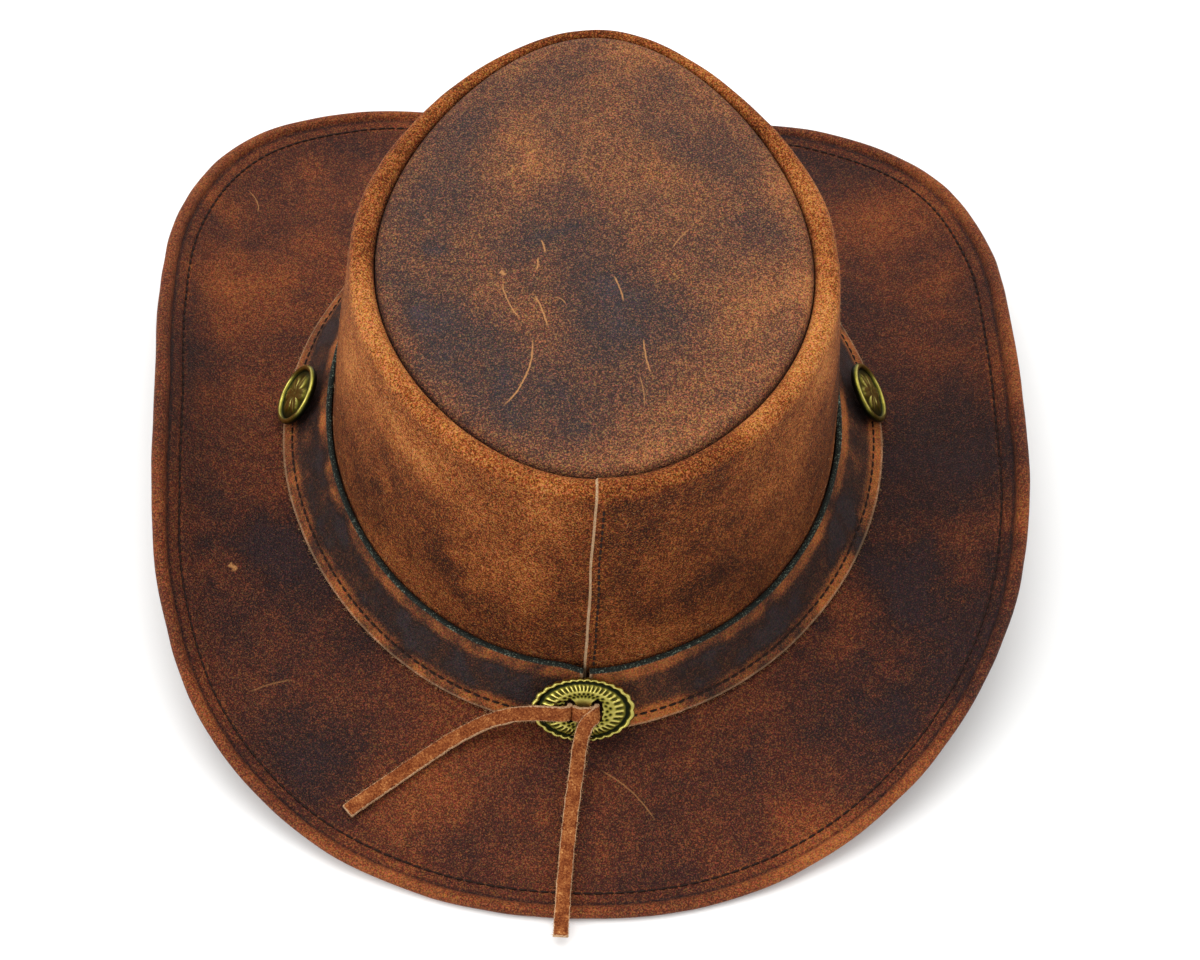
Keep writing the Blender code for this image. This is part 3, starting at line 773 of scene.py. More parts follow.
wallPiece = makeWall()
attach(wallPiece, "root")
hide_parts("crown_wall")
print("crown wall made")


# Tip: the domed panel on top, turned down into the same seam

tipSpots = photoSpots(tipAt, [
    {"photo": (520, 160), "reach": 0.022, "tone": 0.32},
    {"photo": (600, 136), "reach": 0.026, "tone": 0.16},
    {"photo": (560, 80), "reach": 0.028, "tone": -0.22},
    {"photo": (690, 190), "reach": 0.026, "tone": 0.12},
    {"photo": (600, 300), "reach": 0.042, "tone": -0.28},
    {"photo": (470, 330), "reach": 0.026, "tone": -0.08},
    {"photo": (430, 240), "reach": 0.024, "tone": 0.10},
    {"photo": (760, 290), "reach": 0.026, "tone": 0.18},
    {"photo": (640, 420), "reach": 0.030, "tone": 0.04},
    {"photo": (520, 420), "reach": 0.026, "tone": 0.00},
    {"photo": (720, 360), "reach": 0.026, "tone": 0.02},
    {"photo": (454, 190), "reach": 0.022, "tone": -0.14},
])


def makeTip():
    angles = [math.tau * index / crown["columns"] for index in range(crown["columns"])]
    edge = hat["gap"] / 2
    leather = hat["crownLeather"]
    section = []  # inset from the seam line, share of the dome, height over the seam
    for share in (0.02, 0.25, 0.5, 0.75, 0.95):
        section.append(("dome", share, -leather))
    for degrees in (90, 60, 30, 0):
        section.append(("inner", degrees, 0.0))
    for inner, drop in ((leather, 1.0), (0.0, 1.0), (0.0, 0.4)):
        section.append(("leg", inner, -drop * crown["allowance"]))
    for degrees in range(0, 91, 8):
        section.append(("shoulder", degrees, 0.0))
    for number in range(1, 46):
        section.append(("dome", 1 - number / 46 * 0.985, 0.0))
    rows = []
    tone = []
    wear = []
    outer = []
    shoulder = crown["shoulder"]
    for kind, amount, lift in section:
        row = []
        marks = []
        for angle in angles:
            if kind == "dome":
                rim = tipOutline(angle, -edge - shoulder)
                plan = rim * amount
                height = seamHeight(plan.y) + shoulder + crown["dome"] * (1 - amount * amount) + lift
                if lift == 0.0:
                    height += 0.0006 * ripple((plan.x, plan.y, 0.5), 0.026, 1.7) * smooth((1 - amount) * 6)
                    marks.append(0.30 * (1 - smooth((1 - amount) * 9)))
                else:
                    marks.append(0.0)
            elif kind == "shoulder" or kind == "inner":
                turn = math.radians(amount)
                reach = shoulder if kind == "shoulder" else shoulder - leather
                plan = tipOutline(angle, -edge - shoulder + reach * math.cos(turn))
                height = seamHeight(plan.y) + reach * math.sin(turn)
                marks.append(0.30 * smooth(amount / 60) if kind == "shoulder" else 0.0)
            else:
                plan = tipOutline(angle, -edge - amount)
                height = seamHeight(plan.y) + lift
                marks.append(0.0)
            row.append(Vector((plan.x, plan.y, height)))
        rows.append(row)
        tone.append([rubPatch(place, tipSpots) for place in row])
        wear.append(marks)
        outer.append([1.0 if kind == "shoulder" or (kind == "dome" and lift == 0.0) else 0.0] * len(angles))
    layers = {"tone": tone, "wear": wear, "outer": outer}
    return gridPiece("tip_leather", rows, True, False, layers, capRows=True)


tipPiece = makeTip()
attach(tipPiece, "root")
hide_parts("crown_tip")
print("tip made")


# Band: a hollow strip sewn near its lower edge, its upper edge dyed

def makeBand():
    halfGap = band["opening"] / hat["headLength"]
    span = math.tau - 2 * halfGap
    angles = [lapAngle + halfGap + span * index / band["columns"] for index in range(band["columns"] + 1)]
    count = band["rows"]
    sample = [bandPoint(1.0, math.pi / 2 * index / 240) for index in range(241)]
    reach = [0.0]
    for a, b in zip(sample, sample[1:]):
        reach.append(reach[-1] + (b - a).length)
    across = [index / (count - 1) for index in range(count)]
    turns = []
    for share in across:
        index = min(sum(1 for value in reach if value < share * reach[-1]), 240)
        turns.append(math.pi / 2 * index / 240)
    middle = []
    for angle in angles:
        foot = bandFoot(angle)
        middle.append([bandPoint(angle, turn, foot) for turn in turns])
    outer = [[] for _ in turns]
    inner = [[] for _ in turns]
    for column, line in enumerate(middle):
        before = middle[max(column - 1, 0)]
        after = middle[min(column + 1, len(middle) - 1)]
        for number, point in enumerate(line):
            along = after[number] - before[number]
            rise = line[min(number + 1, count - 1)] - line[max(number - 1, 0)]
            facing = rise.cross(along).normalized()
            if facing.dot(Vector((point.x, point.y, 0.05))) < 0:
                facing = -facing
            half = hat["bandLeather"] / 2
            edgeSoft = 0.72 if number in (0, count - 1) else 0.94 if number in (1, count - 2) else 1.0
            puff = 0.00025 * ripple(point, 0.018, 8.0)
            dip = -0.00045 * math.exp(-((across[number] - band["stitchShare"]) / 0.025) ** 2)
            outer[number].append(point + facing * (half * edgeSoft + puff + dip))
            inner[number].append(point - facing * half * edgeSoft)
    rows = outer + inner[::-1]
    place = across + across[::-1]
    face = [1.0] * count + [0.0] * count
    tone = []
    wear = []
    raw = []
    dyed = []
    for value, front in zip(place, face):
        sewn = smooth((0.34 - value) / 0.16)
        upper = smooth((value - 0.70) / 0.14)
        strip = 1.0 * sewn + 0.9 * upper if front else 0.3
        # Painted shade: the sunken stitch groove is darkened
        grooveShade = math.exp(-((value - band["stitchShare"]) / 0.018) ** 2)
        streak = [ripple((angle * 0.1, value * 0.006, 0), 0.020, 5.0)
                  + 0.6 * ripple((angle * 0.1, value * 0.02, 0), 0.006, 7.0) for angle in angles]
        wear.append([strip * (1 + 0.7 * line) - 0.5 * grooveShade for line in streak])
        tone.append([-0.04 * (1 - sewn) * (1 - upper) + 0.34 * line for line in streak])
        raw.append([0.45 * smooth((0.045 - value) / 0.03) for _ in angles])
        dyed.append([smooth((value - 0.955) / 0.02) for _ in angles])
    for column in (0, len(angles) - 1):
        for row in raw:
            row[column] = 0.9
    outside = [[front] * len(angles) for front in face]
    layers = {"tone": tone, "wear": wear, "raw": raw, "dyed": dyed, "outer": outside}
    return gridPiece("band_leather", rows, False, True, layers, capEnds=True), outer, across


bandPiece, bandOuter, bandAcross = makeBand()
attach(bandPiece, "root")
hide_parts("hat_band")
print("band made")


# Stitches: short waxed threads sunk at both ends

stitch = {
    "thickness": 0.00062,
    "broad": 1.25,
    "sides": 6,
    "rings": (
        (-1.0, 0.15, -0.9), (-0.72, 0.9, -0.05), (-0.3, 1.0, 0.35),
        (0.3, 1.0, 0.35), (0.72, 0.9, -0.05), (1.0, 0.15, -0.9),
    ),
}


def addTube(points, faces, rings):
    sides = len(rings[0])
    first = len(points)
    for ring in rings:
        points += [tuple(place + hat["middle"]) for place in ring]
    for low in range(first, len(points) - sides, sides):
        for corner in range(sides):
            after = (corner + 1) % sides
            faces.append((low + corner, low + after, low + sides + after, low + sides + corner))
    faces.append(tuple(range(first, first + sides)))
    faces.append(tuple(reversed(range(len(points) - sides, len(points)))))


def tubePiece(name, points, faces):
    mesh = bpy.data.meshes.new(name)
    mesh.from_pydata(points, [], faces)
    outwardFaces(mesh)
    piece = newPiece(name, mesh)
    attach(piece, "root")
    return piece


def circle(middle, side, up, sides):
    turns = [math.tau * corner / sides for corner in range(sides)]
    return [middle + side * math.cos(turn) + up * math.sin(turn) for turn in turns]


def stitchPiece(name, line, pitch, length):
    points = []
    faces = []
    lengths = [0.0]
    for (a, _), (b, _) in zip(line, line[1:]):
        lengths.append(lengths[-1] + (b - a).length)
    count = int(lengths[-1] / pitch)
    index = 0
    for number in range(count):
        target = (number + 0.5) * lengths[-1] / count
        while index < len(line) - 2 and lengths[index + 1] < target:
            index += 1
        share = (target - lengths[index]) / (lengths[index + 1] - lengths[index])
        place = line[index][0].lerp(line[index + 1][0], share)
        outward = line[index][1].lerp(line[index + 1][1], share).normalized()
        along = (line[index + 1][0] - line[index][0]).normalized()
        side = outward.cross(along).normalized()
        along = (along + side * (0.05 * ripple((number * 3.1, 0, 0), 1.0))).normalized()
        side = outward.cross(along).normalized()
        radius = stitch["thickness"] / 2 * (1 + 0.12 * ripple((number * 1.7, 2, 0), 1.0))
        rings = []
        for reach, width, lift in stitch["rings"]:
            middle = place + along * (reach * length / 2) + outward * (lift * radius)
            thick = radius * width
            rings.append(circle(middle, side * thick * stitch["broad"], outward * thick, stitch["sides"]))
        addTube(points, faces, rings)
    return tubePiece(name, points, faces)


def brimLine(distance, height, upward):
    line = []
    for index in range(1001):
        angle = math.tau * index / 1000
        radius = brimReach(angle) - distance
        slope = brimSlope(angle, radius)
        lean = math.hypot(1.0, slope)
        x = radius - slope / lean * height
        outward = Vector((-slope * math.sin(angle), -slope * math.cos(angle), 1.0)).normalized() * upward
        level = brimUnderside(angle, radius) + height / lean
        place = Vector((x * math.sin(angle), x * math.cos(angle), level))
        place.z += brimWave(place, angle, radius) if upward > 0 else 0.0
        line.append((place, outward))
    return line


hemLine = brimLine(brimEdge["stitchIn"], 0.00240, 1)
hemThread = stitchPiece("hem_thread", hemLine, 0.0034, 0.0028)
hemLine = brimLine(brimEdge["stitchIn"], 0.00058, -1)
hemThreadUnder = stitchPiece("hem_thread_under", hemLine, 0.0034, 0.0028)


def bandLine(share):
    row = min(range(len(bandAcross)), key=lambda number: abs(bandAcross[number] - share))
    line = []
    for column in range(len(bandOuter[0])):
        place = bandOuter[row][column]
        near = bandOuter[row + 1][column] - bandOuter[row - 1][column]
        along = bandOuter[row][min(column + 1, len(bandOuter[0]) - 1)] - bandOuter[row][max(column - 1, 0)]
        outward = near.cross(along).normalized()
        if outward.z < 0:
            outward = -outward
        line.append((place + outward * 0.00018, outward))
    return line


bandThread = stitchPiece("band_thread", bandLine(band["stitchShare"]), 0.0033, 0.0027)


def lapLine():
    line = []
    for index in range(61):
        share = mix(0.20, 0.985, index / 60)
        angle = lapAngle - 0.0024 / (hat["headWidth"] / 2 * 1.05)
        place = wallInside(angle, share, hat["crownLeather"] + crown["lapStep"] * (1 - 0.3 * share) + 0.00016)
        sway = Vector((1, 0, 0)) * (0.0006 * ripple((0, 0, place.z), 0.016, 6.0))
        place = place + wallWave(place, share) + sway
        line.append((place, Vector((place.x, place.y, 0.012)).normalized()))
    return line


lapThread = stitchPiece("lap_thread", lapLine(), 0.0030, 0.0024)
print("stitches sewn")


# Short stretch of thong over the concho's middle bar, tucked into its slots
bridgeRows = [(0.0010, 0.1160, 0.0272, 0.0), (0.0009, 0.1176, 0.0289, 0.0), (-0.0004, 0.1183, 0.0296, 0.0),
              (-0.0024, 0.1183, 0.0296, 0.0), (-0.0042, 0.1176, 0.0289, 0.0), (-0.0046, 0.1160, 0.0272, 0.0)]
bridgePiece, _ = stripPiece("thong_bridge", bridgeRows, 1.1)
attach(bridgePiece, "root")

# Loose fibres that stand off the cut edges and lie on the rubbed leather
fibres = {
    "radius": 0.000065,
    "taper": 0.7,
    "lift": 0.25,
    "steps": 4,
    "sides": 3,
}


def strandPiece(name, roots):
    points = []
    faces = []
    for number, (place, along, outward, length) in enumerate(roots):
        side = outward.cross(along).normalized()
        bend = ripple((number * 2.3, 1, 0), 1.0) * 1.6
        rings = []
        for step in range(fibres["steps"] + 1):
            share = step / fibres["steps"]
            curve = (side * bend + outward * fibres["lift"]) * (length * share * share)
            radius = fibres["radius"] * (1 - fibres["taper"] * share)
            middle = place + along * (length * share) + curve
            rings.append(circle(middle, side * radius, outward * radius, fibres["sides"]))
        addTube(points, faces, rings)
    return tubePiece(name, points, faces)


def chance(number, seed):
    return 0.5 + 0.5 * math.sin(number * 12.9898 + seed * 78.233 + 4.1 * math.sin(number * 3.71 + seed))


def laceFray(rows, seed):
    line = smoothLine([Vector(row) for row in rows], 0.00035)
    roots = []
    for index in range(8, len(line) - 1):
        point = line[index]
        along = (line[index + 1].xyz - line[index - 1].xyz).normalized()
        across = laceAcross(along, point.xyz, min(max(point.w, 0.0), 1.0))
        up = along.cross(across).normalized()
        if up.z < 0:
            up = -up
        for sign in (-1, 1):
            if chance(index, seed + sign) < 0.35:
                continue
            lift = lace["thickness"] * (0.5 * chance(index, seed + 3 * sign) - 0.1)
            place = point.xyz + across * (sign * lace["width"] * 0.485) + up * lift
            sway = along * (1.6 * chance(index, seed + 5 * sign) - 0.8)
            lean = (across * sign + sway + up * 0.3).normalized()
            roots.append((place, lean, up, 0.0004 + 0.0008 * chance(index, seed + 7 * sign) ** 3))
    return roots


def bandFray():
    roots = []
    for column in range(0, len(bandOuter[0]) - 1):
        for part in range(2):
            number = column * 2 + part
            if chance(number, 2.0) < 0.4:
                continue
            a = bandOuter[0][column]
            b = bandOuter[0][column + 1]
            place = a.lerp(b, 0.5 * part + 0.4 * chance(number, 3.0))
            along = (b - a).normalized()
            out = Vector((place.x, place.y, 0)).normalized()
            up = along.cross(out).normalized()
            if up.z < 0:
                up = -up
            lean = (out + along * (1.8 * chance(number, 4.0) - 0.9)).normalized()
            roots.append((place - up * 0.0004, lean, up, 0.0004 + 0.0009 * chance(number, 5.0) ** 3))
    return roots


def wallFray():
    roots = []
    for number in range(900):
        angle = 2.4 * (chance(number, 1.3) - 0.5) * 2
        share = 0.22 + 0.74 * chance(number, 2.7)
        if abs(angle - lapAngle) < 0.04:
            continue
        place = wallInside(angle, share, hat["crownLeather"] + lapStep(angle) * (1 - 0.3 * share))
        place = place + wallWave(place, share)
        outward = Vector((place.x, place.y, 0.012)).normalized()
        side = outward.cross(Vector((0, 0, 1))).normalized()
        turn = math.tau * chance(number, 3.9)
        along = (side * math.cos(turn) + outward.cross(side) * math.sin(turn)).normalized()
        roots.append((place, along, outward, 0.0005 + 0.0013 * chance(number, 5.1) ** 2))
    return roots


laceRoots = laceFray(laceRoutes["lace_left"], 1.0) + laceFray(laceRoutes["lace_back"], 2.0)
laceFibres = strandPiece("thong_fibres", laceRoots)
bandFibres = strandPiece("band_fibres", bandFray())
wallFibres = strandPiece("crown_fibres", wallFray())
print("fibres drawn")


# Antique brass hardware: profiles turned, then shaped into scallops, flutes and leaves

stud = {
    "radius": 0.01075,
    "thickness": 0.0026,
    "rim": 0.0018,
    "post": 0.0030,
    "sides": 96,
    "leaves": 6,
}


def deselect():
    bpy.ops.object.select_all(action="DESELECT")


def keepHeights(piece, low, high):
    values = [min(max((vertex.co.z - low) / (high - low), 0.0), 1.0) for vertex in piece.data.vertices]
    piece.data.attributes.new("high", "FLOAT", "POINT").data.foreach_set("value", values)


def setDown(piece, seat):
    turn = Matrix((seat["side"], seat["upward"], seat["outward"])).transposed().to_4x4()
    piece.data.transform(Matrix.Translation(seat["middle"] + hat["middle"]) @ turn)
    piece.data.update()


def turnedPiece(name, profile, steps):
    deselect()
    mesh = bpy.data.meshes.new(name)
    mesh.from_pydata([(x, 0.0, z) for x, z in profile], [(i, i + 1) for i in range(len(profile) - 1)], [])
    piece = newPiece(name, mesh)
    bpy.context.view_layer.objects.active = piece
    piece.select_set(True)
    bpy.ops.object.mode_set(mode="EDIT")
    bpy.ops.mesh.select_all(action="SELECT")
    bpy.ops.mesh.spin(steps=steps, angle=math.tau, center=(0, 0, 0), axis=(0, 0, 1))
    bpy.ops.mesh.select_all(action="SELECT")
    bpy.ops.mesh.remove_doubles(threshold=0.000004)
    bpy.ops.mesh.normals_make_consistent(inside=False)
    bpy.ops.object.mode_set(mode="OBJECT")
    piece.data.shade_smooth()
    return piece


studSeats = {
    "stud_left": 92.0,
    "stud_right": 263.3,
}


def makeStud(node, degrees):
    seat = seatOn(math.radians(degrees), 35.0, 0.45, stud["radius"], stud["radius"])
    radius = stud["radius"]
    thick = stud["thickness"]
    rim = stud["rim"]
    inner = radius - rim
    profile = [(0.0, -0.0016), (stud["post"], -0.0016), (stud["post"], 0.0), (radius - rim * 0.5, 0.0)]
    for degrees in range(15, 166, 15):
        turn = math.radians(degrees)
        profile.append((radius - rim * 0.5 * (1 - math.sin(turn)), thick * 0.5 * (1 - math.cos(turn))))
    profile += [(radius - rim * 0.62, thick), (radius - rim * 0.9, thick * 0.9), (inner, thick * 0.60),
                (inner - 0.0004, thick * 0.52)]
    for share in (0.92, 0.84, 0.74, 0.62, 0.5, 0.38, 0.26, 0.14, 0.05):
        profile.append((inner * share, thick * (0.56 + 0.36 * (1 - share * share))))
    profile.append((0.0, thick * 0.92))
    piece = turnedPiece(node.replace("stud", "rosette"), profile, stud["sides"])
    for vertex in piece.data.vertices:
        x, y, z = vertex.co
        reach = math.hypot(x, y)
        if z > thick * 0.5 and reach < inner * 0.96:
            turn = math.atan2(y, x)
            share = reach / inner
            petal = abs(math.cos(turn * stud["leaves"] / 2))
            outline = 0.30 + 0.58 * petal ** 0.7
            raised = smooth((outline - share) / 0.10) * smooth((share - 0.16) / 0.08)
            vein = bump(math.sin(turn * stud["leaves"] / 2) * share, 0.0, 0.035) * smooth((share - 0.2) / 0.1)
            knob = 1 - smooth(share / 0.15)
            vertex.co.z += 0.00042 * raised - 0.00022 * vein * raised + 0.00035 * knob
    keepHeights(piece, thick * 0.52, thick * 1.06)
    setDown(piece, seat)
    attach(piece, "root")
    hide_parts(node)
    return piece


studPieces = [makeStud(node, degrees) for node, degrees in studSeats.items()]


def makeConcho():
    steps = concho["scallops"] * 12
    rows = [(0.985, 0.0), (1.0, 0.35), (1.0, 0.75), (0.985, 1.05), (0.965, 1.22), (0.945, 1.28), (0.92, 1.20),
            (0.90, 1.0), (0.885, 0.84), (0.865, 0.80), (0.845, 0.84), (0.825, 0.98), (0.80, 1.10), (0.76, 1.26),
            (0.72, 1.46), (0.68, 1.66), (0.64, 1.84), (0.61, 1.95), (0.59, 2.02)]
    rows += [(0.575 - 0.0125 * number, 2.02) for number in range(15)]
    rows += [(0.36, 2.02), (0.28, 2.02), (0.18, 2.04), (0.06, 2.04)]
    profile = [(0.0, 0.0)] + [(share, height / 1000 * 1.35) for share, height in rows] + [(0.0, 0.00275)]
    piece = turnedPiece("scalloped_concho", profile, steps)
    polishAndPaintedLight = [0.3] * len(piece.data.vertices)
    for vertex in piece.data.vertices:
        x, y, z = vertex.co
        share = math.hypot(x, y)
        if share < 0.0001:
            continue
        turn = math.atan2(y, x)
        reach = 1 / math.hypot(2 * math.cos(turn) / concho["width"], 2 * math.sin(turn) / concho["height"])
        scallop = abs(math.sin(turn * concho["scallops"] / 2))
        out = reach * share - concho["scallopDepth"] * (1 - scallop) * share ** 6
        lift = 0.0
        dot = 0.0
        if z > 0.0004:
            rimShare = math.exp(-((share - 0.945) / 0.03) ** 2)
            lift += 0.00034 * rimShare * (scallop - 0.5)
            ringShare = smooth((share - 0.60) / 0.04) * smooth((0.80 - share) / 0.06)
            lift += 0.00030 * ringShare * math.cos(turn * concho["flutes"])
            for ring, first in concho["dotRings"]:
                around = (turn / math.tau * concho["dots"] + first) % 1.0 - 0.5
                away = math.hypot(around * math.tau * ring * reach / concho["dots"], (share - ring) * reach)
                dot = max(dot, math.exp(-(away / 0.00042) ** 2))
            lift -= 0.00030 * dot
        vertex.co = Vector((out * math.cos(turn), out * math.sin(turn), z + lift))
        if z > 0.0004:
            # Antique polish on the high places, with painted shade in the channel and painted highlights on the
            # rim's edge lines and the flute crests
            channelShade = smooth((share - 0.775) / 0.05) * smooth((0.915 - share) / 0.025)
            flute = 0.5 + 0.5 * math.cos(turn * concho["flutes"])
            high = 0.76 if share < 0.60 else mix(0.76, 0.20 + 0.95 * flute ** 1.5, ringShare)
            high = max(high, 0.75 * rimShare + 0.35 * rimShare * (1 - scallop) ** 2)
            polishAndPaintedLight[vertex.index] = max(high * (1 - 0.95 * channelShade) - 0.9 * dot, 0.0)
    piece.data.attributes.new("high", "FLOAT", "POINT").data.foreach_set("value", polishAndPaintedLight)
    for side in (-1, 1):
        deselect()
        bpy.ops.mesh.primitive_cylinder_add(vertices=32, radius=concho["slotWidth"] / 2, depth=0.02)
        cutter = bpy.context.object
        for vertex in cutter.data.vertices:
            if abs(vertex.co.y) > 0.000001:
                vertex.co.y += math.copysign((concho["slotLength"] - concho["slotWidth"]) / 2, vertex.co.y)
            vertex.co.x += side * (concho["bridge"] + concho["slotWidth"]) / 2
        cut = piece.modifiers.new("slot", "BOOLEAN")
        cut.object = cutter
        cut.operation = "DIFFERENCE"
        deselect()
        bpy.context.view_layer.objects.active = piece
        piece.select_set(True)
        bpy.ops.object.modifier_apply(modifier="slot")
        bpy.data.objects.remove(cutter, do_unlink=True)
    setDown(piece, conchoSeat)
    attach(piece, "root")
    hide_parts("back_concho")
    return piece


conchoPiece = makeConcho()
print("hardware made")


# Materials

def hexColour(code):
    channels = [int(code[index:index + 2], 16) / 255 for index in (1, 3, 5)]
    linear = [value / 12.92 if value <= 0.04045 else ((value + 0.055) / 1.055) ** 2.4 for value in channels]
    return (*linear, 1.0)


def perMm(size):
    return 1000 / size  # how many of a pattern this size fit in a metre


def addNode(tree, kind, inputs=None, **settings):
    node = tree.nodes.new(kind)
    for name, value in settings.items():
        setattr(node, name, value)
    for socket, value in (inputs or {}).items():
        target = node.inputs[socket]
        if isinstance(value, bpy.types.NodeSocket):
            tree.links.new(value, target)
        else:
            target.default_value = value
    return node


def newMaterial(name):
    material = bpy.data.materials.new(name)
    material.use_nodes = True
    return material, material.node_tree, material.node_tree.nodes["Principled BSDF"]


def setShader(tree, shader, values):
    for socket, value in values.items():
        if isinstance(value, bpy.types.NodeSocket):
            tree.links.new(value, shader.inputs[socket])
        else:
            shader.inputs[socket].default_value = value


def objectPlace(tree):
    return addNode(tree, "ShaderNodeTexCoord").outputs["Object"]


def painted(tree, layer):
    return addNode(tree, "ShaderNodeAttribute", attribute_name=layer).outputs["Fac"]


def noiseValue(tree, coords, size, detail, roughness=0.5, distortion=0.0, output="Fac"):
    inputs = {"Vector": coords, "Scale": perMm(size), "Detail": detail, "Roughness": roughness,
              "Distortion": distortion}
    return addNode(tree, "ShaderNodeTexNoise", inputs).outputs[output]


def mathValue(tree, operation, *values):
    return addNode(tree, "ShaderNodeMath", dict(enumerate(values)), operation=operation).outputs[0]


def addShare(tree, value, share, rest):
    return mathValue(tree, "MULTIPLY_ADD", value, share, rest)


def rangeValue(tree, value, low, high, start, end):
    return addNode(tree, "ShaderNodeMapRange", {0: value, 1: low, 2: high, 3: start, 4: end}).outputs[0]


def blend(tree, share, below, above, mode="MIX"):
    below, above = (hexColour(colour) if isinstance(colour, str) else colour for colour in (below, above))
    inputs = {0: share, 6: below, 7: above}
    return addNode(tree, "ShaderNodeMix", inputs, data_type="RGBA", blend_type=mode).outputs[2]


def rampColour(tree, value, stops):
    node = addNode(tree, "ShaderNodeValToRGB", {"Fac": value})
    elements = node.color_ramp.elements
    while len(elements) < len(stops):
        elements.new(0.5)
    for element, (place, code) in zip(elements, stops):
        element.position = place
        element.color = hexColour(code)
    return node.outputs["Color"]


def dents(tree, height, strength, distance, normal=None):
    inputs = {"Height": height, "Strength": strength, "Distance": distance}
    if normal is not None:
        inputs["Normal"] = normal
    return addNode(tree, "ShaderNodeBump", inputs).outputs["Normal"]


def scratchMask(tree, coords, mark, grain, find):
    start = find(*mark["from"])
    end = find(*mark["to"])
    run = (end - start).to_2d()
    middle = (start + end) / 2 + hat["middle"]
    local = addNode(tree, "ShaderNodeMapping", {
        "Vector": coords, "Location": (middle.x, middle.y, 0), "Rotation": (0, 0, math.atan2(run.y, run.x)),
        "Scale": (run.length / 2, mark["width"], 1),
    }, vector_type="TEXTURE")
    parts = addNode(tree, "ShaderNodeSeparateXYZ", {0: local.outputs[0]})
    square = mathValue(tree, "POWER", parts.outputs[0], 2.0)
    curve = mark["bend"] / mark["width"]
    away = addShare(tree, square, curve, parts.outputs[1])
    away = mathValue(tree, "SUBTRACT", away, curve)
    # The edge wanders with the grain
    away = mathValue(tree, "SUBTRACT", addShare(tree, grain, 3.0, away), 1.5)
    line = rangeValue(tree, mathValue(tree, "ABSOLUTE", away), 1.3, 0.5, 0.0, 1.0)
    ends = rangeValue(tree, square, 1.05, 0.55, 0.0, mark["depth"])
    return mathValue(tree, "MULTIPLY", line, ends)


# Sizes of the leather's patterns in millimetres, and how much each one counts
grain = {
    "drift": 70,
    "warp": 0.04,
    "mottle": 6,
    "fibre": 0.5,
    "tuft": 1.9,
    "hue": 0.6,
    "mottleShare": 0.28,
    "wearShare": 0.45,
    "tuftShare": 0.28,
    "levelShare": 0.10,
    "tuftRough": 0.16,
    "fleshRough": 0.9,
    "scuff": "#b57f4c",
    "flesh": ("#54301d", "#94663f"),
    "cut": ("#a98562", "#d9c3a2"),
    "dye": ("#161b16", "#7d8a78"),
}


def leatherMaterial(name, look, marks, find):
    material, tree, shader = newMaterial(name)
    coords = objectPlace(tree)
    tone, wear, raw, dyed, outer = (painted(tree, layer) for layer in ("tone", "wear", "raw", "dyed", "outer"))
    drift = noiseValue(tree, coords, grain["drift"], 2.0, output="Color")
    warp = {0: drift, 1: (grain["warp"],) * 3, 2: coords}
    warped = addNode(tree, "ShaderNodeVectorMath", warp, operation="MULTIPLY_ADD").outputs[0]
    clouds = noiseValue(tree, warped, look["cloud"], 4.0)
    mottle = noiseValue(tree, warped, grain["mottle"], 4.0, 0.6)
    # Loose fibre tips come about every 0.5 mm, in tufts of about 2 mm
    fibre = noiseValue(tree, coords, grain["fibre"], 1.5, 0.6, 0.7)
    tuft = noiseValue(tree, coords, grain["tuft"], 3.0, 0.6)
    level = addShare(tree, clouds, look["contrast"], look["lift"])
    level = addShare(tree, mottle, grain["mottleShare"], level)
    level = mathValue(tree, "ADD", level, tone)
    level = addShare(tree, wear, grain["wearShare"], level)
    # The lowest stop is a painted violet-grey sheen on the brim, tip and band, and the deepest brown on the
    # wall
    stops = zip((0.0, 0.17, 0.36, 0.62, 0.92), ("deepestAndSheen", "deep", "body", "warm", "tan"))
    base = rampColour(tree, level, [(place, look[part]) for place, part in stops])
    speck = addShare(tree, tuft, grain["tuftShare"], fibre)
    speck = addShare(tree, level, grain["levelShare"], speck)
    amount = rangeValue(tree, level, 0.1, 0.8, look["fewFibres"], look["manyFibres"])
    shown = mathValue(tree, "MULTIPLY", rangeValue(tree, speck, 0.68, 0.80, 0.0, 1.0), amount)
    colour = blend(tree, shown, base, blend(tree, level, look["paleFibre"], look["fibre"]))
    pores = rangeValue(tree, speck, 0.52, 0.68, look["pore"], 1.0)
    colour = blend(tree, 1.0, colour, pores, "MULTIPLY")
    # The grain itself runs from ochre to plum within half a millimetre
    hues = noiseValue(tree, coords, grain["hue"], 1.0, output="Color")
    colour = blend(tree, look["hues"], colour, hues, "SOFT_LIGHT")
    for mark in marks:
        mask = mathValue(tree, "MULTIPLY", scratchMask(tree, coords, mark, tuft, find), outer)
        colour = blend(tree, mask, colour, grain["scuff"])
    # The flesh side is unwaxed, evenly brown and furry, and cut leather is pale
    colour = blend(tree, outer, blend(tree, shown, *grain["flesh"]), colour)
    colour = blend(tree, raw, colour, blend(tree, shown, *grain["cut"]))
    # The band's upper edge is dyed black-green with pale flecks
    flecks = rangeValue(tree, speck, 0.78, 0.88, 0.0, 0.8)
    colour = blend(tree, dyed, colour, blend(tree, flecks, *grain["dye"]))
    rough = rangeValue(tree, level, 0.0, 0.8, look["waxy"], look["dry"])
    rough = addShare(tree, tuft, grain["tuftRough"], rough)
    rough = addNode(tree, "ShaderNodeMix", {0: outer, 2: grain["fleshRough"], 3: rough}).outputs[0]
    relief = dents(tree, addShare(tree, fibre, 0.5, speck), 0.8, 0.0005)
    relief = dents(tree, mottle, 0.3, 0.0012, relief)
    setShader(tree, shader, {
        "Base Color": colour, "Roughness": rough, "Normal": relief, "IOR": 1.45,
        "Specular IOR Level": look["gloss"], "Sheen Weight": look["nap"], "Sheen Roughness": 0.4,
    })
    return material
